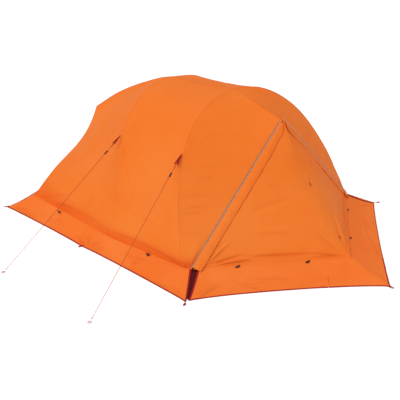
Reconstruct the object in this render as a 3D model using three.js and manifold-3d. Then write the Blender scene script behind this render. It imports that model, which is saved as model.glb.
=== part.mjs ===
// Two-person mountain tent: an outer fly with snow skirts over two leaning hoop poles and one ridge
// pole, with an inner tent hung under them, a two-door vestibule in front and two guy lines.
//
// Millimetres, +Z up. The tent's long axis is X, the vestibule points towards +X, and the near side,
// which has the guy lines, is -Y. Points are first given from the line through the two front corners
// of the snow skirt. The whole group is then moved by ORIGIN_SHIFT_X, so that the origin is the centre
// of the footprint on the ground.

import * as THREE from 'three';
import { mergeVertices } from 'three/addons/utils/BufferGeometryUtils.js';
import Module from 'manifold-3d';

const wasm = await Module();
wasm.setup();

// ---------------------------------------------------------------- driving dimensions

const ORIGIN_SHIFT_X = 900;
const FABRIC = 2.5;             // thickness of every sewn panel
const SEAM_GAP = 0.4;           // half the gap between two panels that meet in a seam
const SEAM_STEPS = 14;          // panels that share a seam are divided alike along it
const HEM_HEIGHT = 100;         // where the fly's walls end and the snow skirt begins

const SKIRT_HALF_WIDTH = 1094;
const SKIRT_FRONT_X = 0;        // the two front corners of the skirt
const SKIRT_REAR_X = -2118;     // the two rear corners
const SKIRT_TIP_X = 847;        // the skirt's point ahead of the vestibule
const SKIRT_TAIL_X = -2647;     // the skirt's point behind the tent

const FRONT_HEM = [-150, 890];  // hem corner under the zip: x, half width
const REAR_HEM = [-1955, 930];
const HEM_TIP_X = 519;          // foot of the crease between the two doors
const HEM_TAIL_X = -2460;
const FRONT_APEX = new THREE.Vector3(-134, 0, 950);
const REAR_APEX = new THREE.Vector3(-2274, 0, 588);
const REAR_EDGE_SLACK = 850;    // scales how far the rear seam dips under its chord
const CREASE_SLACK = 225;       // scales how far the doors' crease hangs behind its chord
const CREASE_HANG = new THREE.Vector3(-0.793, 0, -0.609);   // the way it hangs, square to the chord

const HOOP_LEAN = -0.407;       // a hoop's x per unit of height
const FRONT_HOOP_X = -156;      // where each hoop's plane meets the ground
const REAR_HOOP_X = -860;
const FRONT_HOOP = [[915, 100], [890, 240], [856, 400], [765, 612], [643, 796], [463, 952],
  [250, 1051], [0, 1088]];
const REAR_HOOP = [[978, 100], [872, 262], [776, 470], [696, 630], [592, 775], [452, 902],
  [268, 1008], [0, 1048]];
const RIDGE = [[-134, 950], [-340, 1030], [-599, 1088], [-940, 1066], [-1283, 1048],
  [-1600, 944], [-1950, 785], [-2274, 588]];

const POLE_RADIUS = 4.5;
const POLE_INSET = 24;          // pole centre under the fly's outer face
const RIDGE_POLE_DROP = 36;     // the ridge pole passes under both hoops
const POLE_JOINT_GAP = 0.8;

const FLOOR_HALF_WIDTH = 780;
const FLOOR_FRONT_X = -195;
const FLOOR_SIDE_END_X = -1900;
const FLOOR_TAIL_X = -2330;
const TUB_TOP = 110;
const INNER_FRONT_X = -191;     // the inner front wall's plane leans like the hoops
const INNER_REAR_X = -895;
const INNER_FRONT = [[779, 112], [762, 320], [682, 610], [562, 780], [385, 925], [200, 1004], [0, 1030]];
const INNER_REAR = [[779, 112], [748, 330], [636, 610], [516, 762], [380, 870], [220, 950], [0, 985]];
const INNER_REAR_APEX = new THREE.Vector3(-2190, 0, 480);

const ZIP_HALF_WIDTH = 3;
const ZIP_LENGTH = 1150;
const ZIP_CLEARANCE = 8;        // from the zip's centre line to the panel edge on each side
const FLAP_WIDTH = 58;
const FLAP_STANDOFF = 10;       // the storm flap's height over the panels it covers
const SLIDER_SIZE = [9, 5, 16];

const DOOR_HALF_WIDTH = 420;    // inner door, measured in the inner front wall
const DOOR_SILL = 140;
const DOOR_SHOULDER = 620;
const DOOR_GAP = 4;

const TOGGLE_STANDOFF = 17;     // how far the toggles' cords start in front of the crease
const TOGGLE_CORD = [1.5, 16];  // radius and length
const TOGGLE_BAR = [3.2, 22];
const STAKE_LOOP = [23, 14];    // length and width
const WEBBING = 2.2;            // thickness
const CLEARANCE = 0.6;          // between parts that only lie beside each other

const GUY_RADIUS = 1.75;
const GUY_TAB_LENGTH = 75;
const GUY_TAB_WIDTH = 32;
const GUY_END_LOOP = 11;        // radius of the loop each line ends in
const GUYS = [
  { name: 'front', hoopX: FRONT_HOOP_X, profile: FRONT_HOOP, height: 790, ground: [-261, -1677] },
  { name: 'rear', hoopX: REAR_HOOP_X, profile: REAR_HOOP, height: 750, ground: [-1192, -1708] },
];
const TENSIONER_OFFSET = 190;   // from the hoop to the tensioner along the line

const SHELL_CENTRE = new THREE.Vector3(-900, 0, 250);   // every wall panel thickens towards this point

// ---------------------------------------------------------------- materials

function paint(color, roughness, metalness = 0) {
  return new THREE.MeshStandardMaterial({ color, roughness, metalness });
}
const FLY = () => paint(0xee5f22, 0.6);
const SKIRT = () => paint(0xf0703a, 0.65);
const RED_TRIM = () => paint(0xa3182a, 0.7);
const POLE = () => paint(0xc9a227, 0.35, 0.8);
const PLASTIC = () => paint(0x1c1c1e, 0.5);
const INNER = () => paint(0xe8e2d2, 0.8);
const FLOOR = () => paint(0x55585c, 0.6);

// ---------------------------------------------------------------- helpers

const V = (x, y, z) => new THREE.Vector3(x, y, z);
const lerp = (a, b, t) => a.clone().lerp(b, t);
const mirrored = (p) => V(p.x, -p.y, p.z);
const group = new THREE.Group();
group.position.x = ORIGIN_SHIFT_X;

function signedVolume(positions, index) {
  let sum = 0;
  for (let i = 0; i < index.length; i += 3) {
    const a = positions[index[i]];
    const b = positions[index[i + 1]];
    const c = positions[index[i + 2]];
    sum += a.dot(b.clone().cross(c));
  }
  return sum;
}

// Merges shared corners, and turns the faces outwards after a mirrored placement.
function closed(geometry) {
  geometry.deleteAttribute('uv');
  geometry.deleteAttribute('normal');
  const merged = mergeVertices(geometry, 1e-4);
  const corners = [];
  for (let i = 0; i < merged.attributes.position.count; i += 1) {
    corners.push(new THREE.Vector3().fromBufferAttribute(merged.attributes.position, i));
  }
  const index = Array.from(merged.index.array);
  if (signedVolume(corners, index) < 0) {
    merged.setIndex(index.toReversed());
  }
  merged.computeVertexNormals();
  return merged;
}

function add(name, geometry, material) {
  const mesh = new THREE.Mesh(closed(geometry), material);
  mesh.name = name;
  group.add(mesh);
  return mesh;
}

const towardsCentre = (p) => SHELL_CENTRE.clone().sub(p).normalize().multiplyScalar(FABRIC);
const downwards = () => V(0, 0, -FABRIC);

// A thin closed sheet: an outer grid surface(u, v), an inner grid moved by thicken(point), and the rim.
function sheet(surface, nu, nv, thicken = towardsCentre) {
  const points = [];
  const index = [];
  for (const layer of [0, 1]) {
    for (let j = 0; j <= nv; j += 1) {
      for (let i = 0; i <= nu; i += 1) {
        const p = surface(i / nu, j / nv);
        points.push(layer ? p.clone().add(thicken(p)) : p);
      }
    }
  }
  const at = (i, j, layer) => layer * (nu + 1) * (nv + 1) + j * (nu + 1) + i;
  const quad = (a, b, c, d) => index.push(a, b, c, a, c, d);
  for (let j = 0; j < nv; j += 1) {
    for (let i = 0; i < nu; i += 1) {
      quad(at(i, j, 0), at(i + 1, j, 0), at(i + 1, j + 1, 0), at(i, j + 1, 0));
      quad(at(i, j, 1), at(i, j + 1, 1), at(i + 1, j + 1, 1), at(i + 1, j, 1));
    }
  }
  for (let i = 0; i < nu; i += 1) {
    quad(at(i, 0, 1), at(i + 1, 0, 1), at(i + 1, 0, 0), at(i, 0, 0));
    quad(at(i, nv, 0), at(i + 1, nv, 0), at(i + 1, nv, 1), at(i, nv, 1));
  }
  for (let j = 0; j < nv; j += 1) {
    quad(at(0, j, 0), at(0, j + 1, 0), at(0, j + 1, 1), at(0, j, 1));
    quad(at(nu, j, 1), at(nu, j + 1, 1), at(nu, j + 1, 0), at(nu, j, 0));
  }
  const geometry = new THREE.BufferGeometry();
  const coordinates = points.flatMap((p) => p.toArray());
  geometry.setAttribute('position', new THREE.Float32BufferAttribute(coordinates, 3));
  geometry.setIndex(index);
  return geometry;
}

// The strip between two edge curves, each held back from its edge by its own inset in millimetres.
function between(edgeA, edgeB, insetA = SEAM_GAP, insetB = SEAM_GAP) {
  return (u, v) => {
    const a = edgeA(v);
    const b = edgeB(v);
    const width = a.distanceTo(b);
    return lerp(a, b, (insetA + u * (width - insetA - insetB)) / width);
  };
}

// Keeps a near-side panel clear of its mirror image on the far side.
const nearSide = (surface, clear = 0.6) => (u, v) => {
  const p = surface(u, v);
  p.y = Math.min(p.y, -clear);
  return p;
};

const farSide = (surface) => (u, v) => mirrored(surface(u, v));

function addPair(name, surface, nu, nv, material, thicken) {
  add(`${name}_left`, sheet(surface, nu, nv, thicken), material());
  add(`${name}_right`, sheet(farSide(surface), nu, nv, thicken), material());
}

const polygon = (points) => new THREE.Shape(points.map(([x, y]) => new THREE.Vector2(x, y)));

function circle(radius, sides) {
  const corners = [];
  for (let i = 0; i < sides; i += 1) {
    const angle = (2 * Math.PI * i) / sides;
    corners.push([radius * Math.cos(angle), radius * Math.sin(angle)]);
  }
  return polygon(corners);
}

function tube(curve, radius, steps, sides = 8) {
  const settings = { steps, bevelEnabled: false, extrudePath: curve };
  return new THREE.ExtrudeGeometry(circle(radius, sides), settings);
}

function extruded(shape, depth, curveSegments = 8) {
  return new THREE.ExtrudeGeometry(shape, { depth, bevelEnabled: false, curveSegments });
}

// Places a geometry so that its own x, y, z point along the given directions from the given origin.
function placed(geometry, origin, xAxis, yAxis, zAxis) {
  const matrix = new THREE.Matrix4().makeBasis(xAxis, yAxis, zAxis).setPosition(origin);
  return geometry.applyMatrix4(matrix);
}

function box(sizeX, sizeY, sizeZ) {
  return new THREE.BoxGeometry(sizeX, sizeY, sizeZ);
}

function manifoldOf(geometry) {
  const mesh = closed(geometry.clone());
  return new wasm.Manifold(new wasm.Mesh({
    numProp: 3,
    vertProperties: new Float32Array(mesh.attributes.position.array),
    triVerts: new Uint32Array(mesh.index.array),
  }));
}

function geometryOf(solid) {
  const mesh = solid.getMesh();
  const result = new THREE.BufferGeometry();
  result.setAttribute('position', new THREE.Float32BufferAttribute(mesh.vertProperties, 3));
  result.setIndex(Array.from(mesh.triVerts));
  return result;
}

const joined = (a, b) => geometryOf(manifoldOf(a).add(manifoldOf(b)));

function subtracted(geometry, cutters) {
  let solid = manifoldOf(geometry);
  for (const cutter of cutters) {
    solid = solid.subtract(manifoldOf(cutter));
  }
  return geometryOf(solid);
}

// ---------------------------------------------------------------- the fly's seams

const hoopCurve = (x0, profile) => new THREE.CatmullRomCurve3(
  profile.map(([y, z]) => V(x0 + HOOP_LEAN * z, -y, z)), false, 'centripetal');

const frontSeam = hoopCurve(FRONT_HOOP_X, FRONT_HOOP);
const rearSeam = hoopCurve(REAR_HOOP_X, REAR_HOOP);
const ridge = new THREE.CatmullRomCurve3(RIDGE.map(([x, z]) => V(x, 0, z)), false, 'centripetal');

const frontHemCorner = V(FRONT_HEM[0], -FRONT_HEM[1], HEM_HEIGHT);
const rearHemCorner = V(REAR_HEM[0], -REAR_HEM[1], HEM_HEIGHT);
const hemTip = V(HEM_TIP_X, 0, HEM_HEIGHT);
const hemTail = V(HEM_TAIL_X, 0, HEM_HEIGHT);

const zipEdge = (v) => lerp(frontHemCorner, FRONT_APEX, v);
const frontHoopEdge = (v) => frontSeam.getPointAt(v);
const rearHoopEdge = (v) => rearSeam.getPointAt(v);
const rearEdge = (v) => {
  const p = lerp(rearHemCorner, REAR_APEX, v);
  p.z -= REAR_EDGE_SLACK * (1 - v) * v ** 3;
  return p;
};
const creaseEdge = (v) => {
  const p = lerp(hemTip, FRONT_APEX, v);
  return p.addScaledVector(CREASE_HANG, CREASE_SLACK * v * (1 - v));
};
const tailEdge = (v) => lerp(hemTail, REAR_APEX, v);

// The ridge between two seams bends upwards past the straight line between their tops.
function ridgeLift(edgeA, edgeB) {
  const a = edgeA(1);
  const b = edgeB(1);
  return (u) => {
    const x = a.x + (b.x - a.x) * u;
    const chord = a.z + (b.z - a.z) * u;
    const samples = ridge.getSpacedPoints(60);
    const k = Math.max(1, samples.findIndex((p) => p.x <= x));
    const t = (samples[k - 1].x - x) / (samples[k - 1].x - samples[k].x);
    return samples[k - 1].z + (samples[k].z - samples[k - 1].z) * t - chord;
  };
}

function flyPanel(edgeA, edgeB, insetA, insetB) {
  const flat = between(edgeA, edgeB, insetA, insetB);
  const lift = ridgeLift(edgeA, edgeB);
  return nearSide((u, v) => {
    const p = flat(u, v);
    p.z += Math.max(0, lift(u)) * v ** 3 * Math.sin(Math.PI * u) ** 0.5;
    return p;
  });
}

// ---------------------------------------------------------------- fly

function buildFly() {
  addPair('fly_front', flyPanel(zipEdge, frontHoopEdge, ZIP_CLEARANCE, SEAM_GAP), 4, SEAM_STEPS, FLY);
  addPair('fly_middle', flyPanel(frontHoopEdge, rearHoopEdge), 5, SEAM_STEPS, FLY);
  addPair('fly_rear', flyPanel(rearHoopEdge, rearEdge), 6, SEAM_STEPS, FLY);
  const tail = between(rearEdge, tailEdge);
  const tailShare = (SEAM_STEPS - 1) / SEAM_STEPS;
  addPair('fly_tail', nearSide((u, v) => tail(u, v * tailShare)), 5, SEAM_STEPS - 1, FLY);
}

// ---------------------------------------------------------------- snow skirts

const skirtCorner = V(SKIRT_FRONT_X, -SKIRT_HALF_WIDTH, 0);
const skirtRearCorner = V(SKIRT_REAR_X, -SKIRT_HALF_WIDTH, 0);
const skirtTip = V(SKIRT_TIP_X, 0, 0);
const skirtTail = V(SKIRT_TAIL_X, 0, 0);
const HEM_DROP = 1;             // the skirt's upper edge lies just under the wall's lower edge
const SKIRT_HOLLOW = 1.35;      // above 1 the skirt flattens out towards the ground

// From a point on the hem (v = 0) down to the skirt's outer edge (v = 1), hollow like slack cloth.
function skirtSurface(hemAt, groundAt) {
  return (u, v) => {
    const p = lerp(hemAt(u), groundAt(u), v);
    const top = HEM_HEIGHT - HEM_DROP;
    p.z = FABRIC + (top - FABRIC) * (1 - v) ** SKIRT_HOLLOW;
    return p;
  };
}

function sideHem(u) {
  const stations = [frontHemCorner, frontHoopEdge(0), rearHoopEdge(0), rearHemCorner];
  const x = lerp(frontHemCorner, rearHemCorner, u).x;
  const k = Math.max(1, stations.findIndex((p) => p.x <= x + 1e-6));
  const t = (stations[k - 1].x - x) / (stations[k - 1].x - stations[k].x);
  return lerp(stations[k - 1], stations[k], t);
}

const GUSSET_SHARE = 0.30;      // the part of each front skirt that belongs to the fixed tip

function buildSkirts() {
  const side = skirtSurface(sideHem, (u) => lerp(skirtCorner, skirtRearCorner, u));
  addPair('skirt_side', (u, v) => side(0.004 + u * 0.9935, v), 12, 3, SKIRT, downwards);
  const tailHem = (u) => lerp(rearHemCorner, hemTail, u);
  const tail = skirtSurface(tailHem, (u) => lerp(skirtRearCorner, skirtTail, u));
  addPair('skirt_tail', nearSide((u, v) => tail(0.004 + u * 0.996, v)), 6, 3, SKIRT, downwards);
  const tipEdge = lerp(skirtTip, skirtCorner, GUSSET_SHARE);
  const tip = skirtSurface(
    (u) => V(HEM_TIP_X + 7, 2 * u - 1, HEM_HEIGHT),
    (u) => (u < 0.5 ? lerp(tipEdge, skirtTip, 2 * u) : lerp(skirtTip, mirrored(tipEdge), 2 * u - 1)));
  add('skirt_tip', sheet(tip, 4, 3, downwards), SKIRT());
}

// ---------------------------------------------------------------- vestibule doors

function buildDoors() {
  const panel = between(zipEdge, creaseEdge, ZIP_CLEARANCE, 1.5);
  addPair('door_panel', nearSide((u, v) => panel(u, v * 0.955), 1.2), 7, 12, FLY);

  const hem = (u) => lerp(frontHemCorner, hemTip, u);
  const groundEnd = lerp(skirtTip, skirtCorner, GUSSET_SHARE);
  const skirt = skirtSurface(hem, (u) => lerp(skirtCorner, groundEnd, u));
  const front = (u, v) => {
    const p = skirt(0.012 + u * 0.973, v);
    p.x -= 6 * u * v;
    return p;
  };
  addPair('door_skirt', nearSide(front, 1.2), 7, 3, SKIRT, downwards);

  const along = FRONT_APEX.clone().sub(frontHemCorner).normalize();
  const outward = hemTip.clone().sub(FRONT_APEX).cross(frontHemCorner.clone().sub(FRONT_APEX)).normalize();
  if (outward.x < 0) {
    outward.negate();
  }
  const across = hemTip.clone().sub(frontHemCorner);
  across.addScaledVector(along, -across.dot(along)).normalize();
  const flap = (u, v) => zipEdge(0.03 + v * 0.89)
    .addScaledVector(across, -8 + u * FLAP_WIDTH)
    .addScaledVector(outward, FABRIC + FLAP_STANDOFF * Math.cos(Math.PI * 0.48 * u * u));
  addPair('storm_flap', flap, 4, 8, FLY);

  for (const [side, flip] of [['left', (p) => p.clone()], ['right', mirrored]]) {
    const basis = [flip(across), flip(outward), flip(along)];
    const chain = box(2 * ZIP_HALF_WIDTH, 2, ZIP_LENGTH);
    add(`zip_chain_${side}`, placed(chain, flip(zipEdge(0.483)), ...basis), PLASTIC());
    const pull = box(6, 1.6, 34).translate(0, 1.2, -24.5);
    const slider = joined(box(...SLIDER_SIZE), pull);
    const origin = flip(zipEdge(0.035).addScaledVector(outward, 4));
    add(`zip_slider_${side}`, placed(slider, origin, ...basis), RED_TRIM());
  }
}

// ---------------------------------------------------------------- poles

function insetHoop(x0, profile) {
  const seam = new THREE.CatmullRomCurve3(profile.map(([y, z]) => V(0, -y, z)), false, 'centripetal');
  const near = [];
  for (let i = 0; i < 9; i += 1) {
    const t = i / 9;
    const p = seam.getPointAt(t);
    const tangent = seam.getTangentAt(t);
    const inward = V(0, tangent.z, -tangent.y);
    p.addScaledVector(inward, POLE_INSET);
    near.push([p.y, p.z]);
  }
  const foot = [near[0][0] - 8, POLE_RADIUS * 0.8];
  const top = [[0, profile.at(-1)[1] - POLE_INSET]];
  const all = [foot, ...near, ...top, ...near.toReversed().map(([y, z]) => [-y, z]), [-foot[0], foot[1]]];
  return new THREE.CatmullRomCurve3(all.map(([y, z]) => V(x0 + HOOP_LEAN * z, y, z)), false, 'centripetal');
}

function section(curve, from, to, steps) {
  const gap = POLE_JOINT_GAP / curve.getLength();
  const points = [];
  for (let i = 0; i <= steps; i += 1) {
    points.push(curve.getPointAt(Math.min(1, from + gap + ((to - from - 2 * gap) * i) / steps)));
  }
  return new THREE.CatmullRomCurve3(points, false, 'centripetal');
}

const HOOP_SECTIONS = 4;
const frontHoop = insetHoop(FRONT_HOOP_X, FRONT_HOOP);
const rearHoop = insetHoop(REAR_HOOP_X, REAR_HOOP);
const ridgePolePoints = ridge.getSpacedPoints(24).map((p) => V(p.x, 0, p.z - RIDGE_POLE_DROP));
const ridgePole = new THREE.CatmullRomCurve3(ridgePolePoints, false, 'centripetal');

function buildPoles() {
  for (const [name, curve] of [['front_hoop', frontHoop], ['rear_hoop', rearHoop]]) {
    for (let k = 0; k < HOOP_SECTIONS; k += 1) {
      const part = section(curve, k / HOOP_SECTIONS, (k + 1) / HOOP_SECTIONS, 8);
      add(`${name}_section_${k + 1}`, tube(part, POLE_RADIUS, 10), POLE());
    }
  }
  const ends = [0.014, 0.30, 0.62, 0.988];
  for (let k = 0; k < 3; k += 1) {
    const part = section(ridgePole, ends[k], ends[k + 1], 8);
    add(`ridge_pole_section_${k + 1}`, tube(part, POLE_RADIUS, 10), POLE());
  }
}

const CLIP_CLEARANCE = 1.3;     // around each pole in its channel

// A clip with two crossed channels holds the ridge pole under each hoop.
function buildCrossingClips() {
  const hoops = [['front', FRONT_HOOP_X, FRONT_HOOP], ['rear', REAR_HOOP_X, REAR_HOOP]];
  for (const [name, x0, profile] of hoops) {
    const hoopZ = profile.at(-1)[1] - POLE_INSET;
    const hoopX = x0 + HOOP_LEAN * hoopZ;
    const block = box(26, 26, 24).translate(hoopX, 0, hoopZ - 6);
    const channel = POLE_RADIUS + CLIP_CLEARANCE;
    const hoopBore = new THREE.CylinderGeometry(channel, channel, 60, 12);
    hoopBore.translate(hoopX, 0, hoopZ);
    const k = ridgePole.getSpacedPoints(200).findIndex((p) => p.x <= hoopX) / 200;
    const at = ridgePole.getPointAt(k);
    const direction = ridgePole.getTangentAt(k);
    const bore = new THREE.CylinderGeometry(channel, channel, 60, 12);
    bore.applyQuaternion(new THREE.Quaternion().setFromUnitVectors(V(0, 1, 0), direction));
    bore.translate(at.x, at.y, at.z);
    add(`crossing_clip_${name}`, subtracted(block, [hoopBore, bore]), PLASTIC());
  }
}

// ---------------------------------------------------------------- inner tent

const floorOutline = [
  [FLOOR_FRONT_X, -FLOOR_HALF_WIDTH], [FLOOR_FRONT_X, FLOOR_HALF_WIDTH],
  [FLOOR_SIDE_END_X, FLOOR_HALF_WIDTH], [FLOOR_TAIL_X, 0], [FLOOR_SIDE_END_X, -FLOOR_HALF_WIDTH],
];

const innerFrontSeam = hoopCurve(INNER_FRONT_X, INNER_FRONT);
const innerRearSeam = hoopCurve(INNER_REAR_X, INNER_REAR);
const innerCorner = V(FLOOR_SIDE_END_X, 1 - FLOOR_HALF_WIDTH, TUB_TOP + 2);
const innerTail = V(FLOOR_TAIL_X, 0, TUB_TOP + 2);
const innerRearEdge = (v) => lerp(innerCorner, INNER_REAR_APEX, v);
const innerTailEdge = (v) => lerp(innerTail, INNER_REAR_APEX, v);

const wallLean = V(HOOP_LEAN, 0, 1).normalize();
const wallNormal = V(0, 1, 0).cross(wallLean);

function doorOutline(shape, half, sill, shoulder) {
  shape.moveTo(-half, sill);
  shape.lineTo(half, sill);
  shape.lineTo(half, shoulder);
  shape.bezierCurveTo(half, shoulder + 240, -half, shoulder + 240, -half, shoulder);
  shape.closePath();
  return shape;
}

function buildInner() {
  add('inner_floor', extruded(polygon(floorOutline), FABRIC), FLOOR());
  const outer = polygon(floorOutline);
  const inset = { [FLOOR_FRONT_X]: -FABRIC, [FLOOR_SIDE_END_X]: FABRIC / 2, [FLOOR_TAIL_X]: 2 * FABRIC };
  const inside = floorOutline.map(([x, y]) => new THREE.Vector2(x + inset[x], y - Math.sign(y) * FABRIC));
  outer.holes.push(new THREE.Path(inside.toReversed()));
  const tub = extruded(outer, TUB_TOP - FABRIC - SEAM_GAP);
  tub.translate(0, 0, FABRIC + SEAM_GAP);
  add('inner_tub_wall', tub, FLOOR());

  const frontSide = between((v) => innerFrontSeam.getPointAt(v), (v) => innerRearSeam.getPointAt(v), 4, 0);
  const rearSide = between((v) => innerRearSeam.getPointAt(v), innerRearEdge, 0, SEAM_GAP);
  const side = (u, v) => (u <= 0.5 ? frontSide(2 * u, v) : rearSide(2 * u - 1, v));
  addPair('inner_side', nearSide(side), 8, 10, INNER);
  const halfTail = nearSide((u, v) => between(innerRearEdge, innerTailEdge, SEAM_GAP, 0)(u, v * 0.96), 0);
  const tail = (u, v) => (u <= 0.5 ? halfTail(2 * u, v) : mirrored(halfTail(2 - 2 * u, v)));
  add('inner_tail', sheet(tail, 6, 4), INNER());

  const wall = new THREE.Shape();
  const scale = Math.hypot(HOOP_LEAN, 1);
  const rim = innerFrontSeam.getSpacedPoints(12).map((p) => [p.y, p.z * scale]);
  const outline = [...rim, ...rim.slice(0, -1).toReversed().map(([y, z]) => [-y, z])];
  outline.forEach(([y, z], i) => (i ? wall.lineTo(y, z) : wall.moveTo(y, z)));
  wall.closePath();
  const opening = new THREE.Path();
  wall.holes.push(doorOutline(opening, DOOR_HALF_WIDTH + DOOR_GAP, DOOR_SILL - DOOR_GAP, DOOR_SHOULDER));
  const origin = V(INNER_FRONT_X, 0, 0);
  const wallSolid = placed(extruded(wall, FABRIC), origin, V(0, 1, 0), wallLean, wallNormal);
  add('inner_front_wall', wallSolid, INNER());
  const leaf = doorOutline(new THREE.Shape(), DOOR_HALF_WIDTH, DOOR_SILL, DOOR_SHOULDER - DOOR_GAP);
  add('inner_door', placed(extruded(leaf, FABRIC), origin, V(0, 1, 0), wallLean, wallNormal), INNER());
  const slider = box(9, 16, 5).translate(DOOR_HALF_WIDTH + 2, DOOR_SILL + 20, FABRIC + 3.2);
  add('inner_zip_slider', placed(slider, origin, V(0, 1, 0), wallLean, wallNormal), PLASTIC());
}

// ---------------------------------------------------------------- fittings

const rectangle = (from, to, half) => [[from, -half], [to, -half], [to, half], [from, half]];

// A folded webbing loop on the ground, open in the middle for a peg.
function loopPiece(origin, direction, length, width, thickness) {
  const shape = polygon(rectangle(0, length, width / 2));
  const hole = polygon(rectangle(0.45 * length, 0.85 * length, width / 4)).getPoints();
  shape.holes.push(new THREE.Path(hole.toReversed()));
  const across = V(0, 0, 1).cross(direction);
  return placed(extruded(shape, thickness), origin, direction, across, V(0, 0, 1));
}

function buildStakeLoops() {
  const [length, width] = STAKE_LOOP;
  for (const [name, x, dx] of [['front', SKIRT_TIP_X, 1], ['rear', SKIRT_TAIL_X, -1]]) {
    const root = V(x + dx * CLEARANCE, 0, 0);
    const loop = loopPiece(root, V(dx, 0, 0), length - CLEARANCE, width, WEBBING);
    add(`stake_loop_${name}`, loop, RED_TRIM());
  }
}

const POLE_TAB_HALF = 11;       // half its width
const POLE_TAB_END = 16;        // how far it reaches past the pole's foot

function buildPoleTabs() {
  for (const [name, curve] of [['front', frontHoop], ['rear', rearHoop]]) {
    for (const [side, t] of [['left', 0], ['right', 1]]) {
      const foot = curve.getPointAt(t);
      const sign = Math.sign(foot.y);
      const inner = FLOOR_HALF_WIDTH + CLEARANCE;
      const reach = Math.abs(foot.y) - inner;
      const end = reach + POLE_TAB_END;
      const strip = polygon(rectangle(0, end, POLE_TAB_HALF));
      const hole = circle(POLE_RADIUS + 2.2, 12).getPoints();
      strip.holes.push(new THREE.Path(hole.map((p) => new THREE.Vector2(p.x + reach, p.y))));
      const direction = V(0, sign, 0);
      const across = V(0, 0, 1).cross(direction);
      const tab = placed(extruded(strip, 2), V(foot.x, sign * inner, 0), direction, across, V(0, 0, 1));
      add(`pole_foot_tab_${name}_${side}`, tab, RED_TRIM());
    }
  }
}

// ---------------------------------------------------------------- guy lines

function hoopPointAtHeight(x0, profile, height) {
  const samples = hoopCurve(x0, profile).getSpacedPoints(200);
  return samples.find((p) => p.z >= height);
}

function buildGuyLines() {
  const tabShape = polygon([[1, 4], [1, -4], [GUY_TAB_LENGTH, -GUY_TAB_WIDTH / 2],
    [GUY_TAB_LENGTH, GUY_TAB_WIDTH / 2]]);
  for (const guy of GUYS) {
    const top = hoopPointAtHeight(guy.hoopX, guy.profile, guy.height);
    const ground = V(guy.ground[0], guy.ground[1], GUY_RADIUS + 0.2);
    const start = top.clone().add(V(0, -6, 2));
    const along = ground.clone().sub(start).normalize();
    const across = along.clone().cross(V(0, 0, 1)).normalize();
    const normal = along.clone().cross(across);
    const tab = placed(extruded(tabShape, WEBBING), start, along, across, normal);
    add(`guy_tab_${guy.name}`, tab, RED_TRIM());
    const middle = (p, distance) => p.clone()
      .addScaledVector(along, distance)
      .addScaledVector(normal, WEBBING / 2);
    const lineStart = middle(start, GUY_TAB_LENGTH + 1);
    const lineEnd = middle(ground, -18);
    const stations = [0, 0.25, 0.5, 0.75, 1].map((t) => lerp(lineStart, lineEnd, t));
    const route = new THREE.CatmullRomCurve3(stations);
    add(`guy_line_${guy.name}`, tube(route, GUY_RADIUS, 24), RED_TRIM());

    const bodyOrigin = middle(start, TENSIONER_OFFSET);
    const bore = new THREE.CylinderGeometry(GUY_RADIUS + 0.4, GUY_RADIUS + 0.4, 60, 10);
    bore.rotateZ(Math.PI / 2);
    const body = subtracted(box(30, 12, 8), [bore]);
    add(`guy_tensioner_${guy.name}`, placed(body, bodyOrigin, along, across, normal), PLASTIC());

    const flat = V(along.x, along.y, 0).normalize();
    const loopAt = V(ground.x, ground.y, 0).addScaledVector(flat, -8);
    const ring = new THREE.TorusGeometry(GUY_END_LOOP, GUY_RADIUS, 8, 20);
    ring.translate(GUY_END_LOOP + 1, 0, GUY_RADIUS + 0.1);
    const ringAcross = V(0, 0, 1).cross(flat);
    add(`guy_end_loop_${guy.name}`, placed(ring, loopAt, flat, ringAcross, V(0, 0, 1)), RED_TRIM());
  }
}

// Toggles that hold a rolled-back door lie along the crease, each on its short cord.
function buildToggles() {
  const [cordRadius, cordLength] = TOGGLE_CORD;
  const [barRadius, barLength] = TOGGLE_BAR;
  for (const [name, v] of [['upper', 0.565], ['lower', 0.168]]) {
    const down = creaseEdge(v - 0.01).sub(creaseEdge(v)).normalize();
    const outward = V(-down.z, 0, down.x);
    const cord = new THREE.CylinderGeometry(cordRadius, cordRadius, cordLength, 8);
    cord.rotateX(Math.PI / 2).translate(0, 0, -2 - cordLength / 2);
    const bar = new THREE.CylinderGeometry(barRadius, barRadius, barLength, 10);
    bar.rotateX(Math.PI / 2).translate(0, 0, -8 - barLength / 2);
    const root = creaseEdge(v).addScaledVector(outward, TOGGLE_STANDOFF);
    const toggle = placed(joined(cord, bar), root, outward, V(0, 1, 0), down.clone().negate());
    add(`crease_toggle_${name}`, toggle, RED_TRIM());
  }
}

buildFly();
buildSkirts();
buildDoors();
buildPoles();
buildCrossingClips();
buildInner();
buildStakeLoops();
buildPoleTabs();
buildGuyLines();
buildToggles();

export default group;
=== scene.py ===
import math

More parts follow.
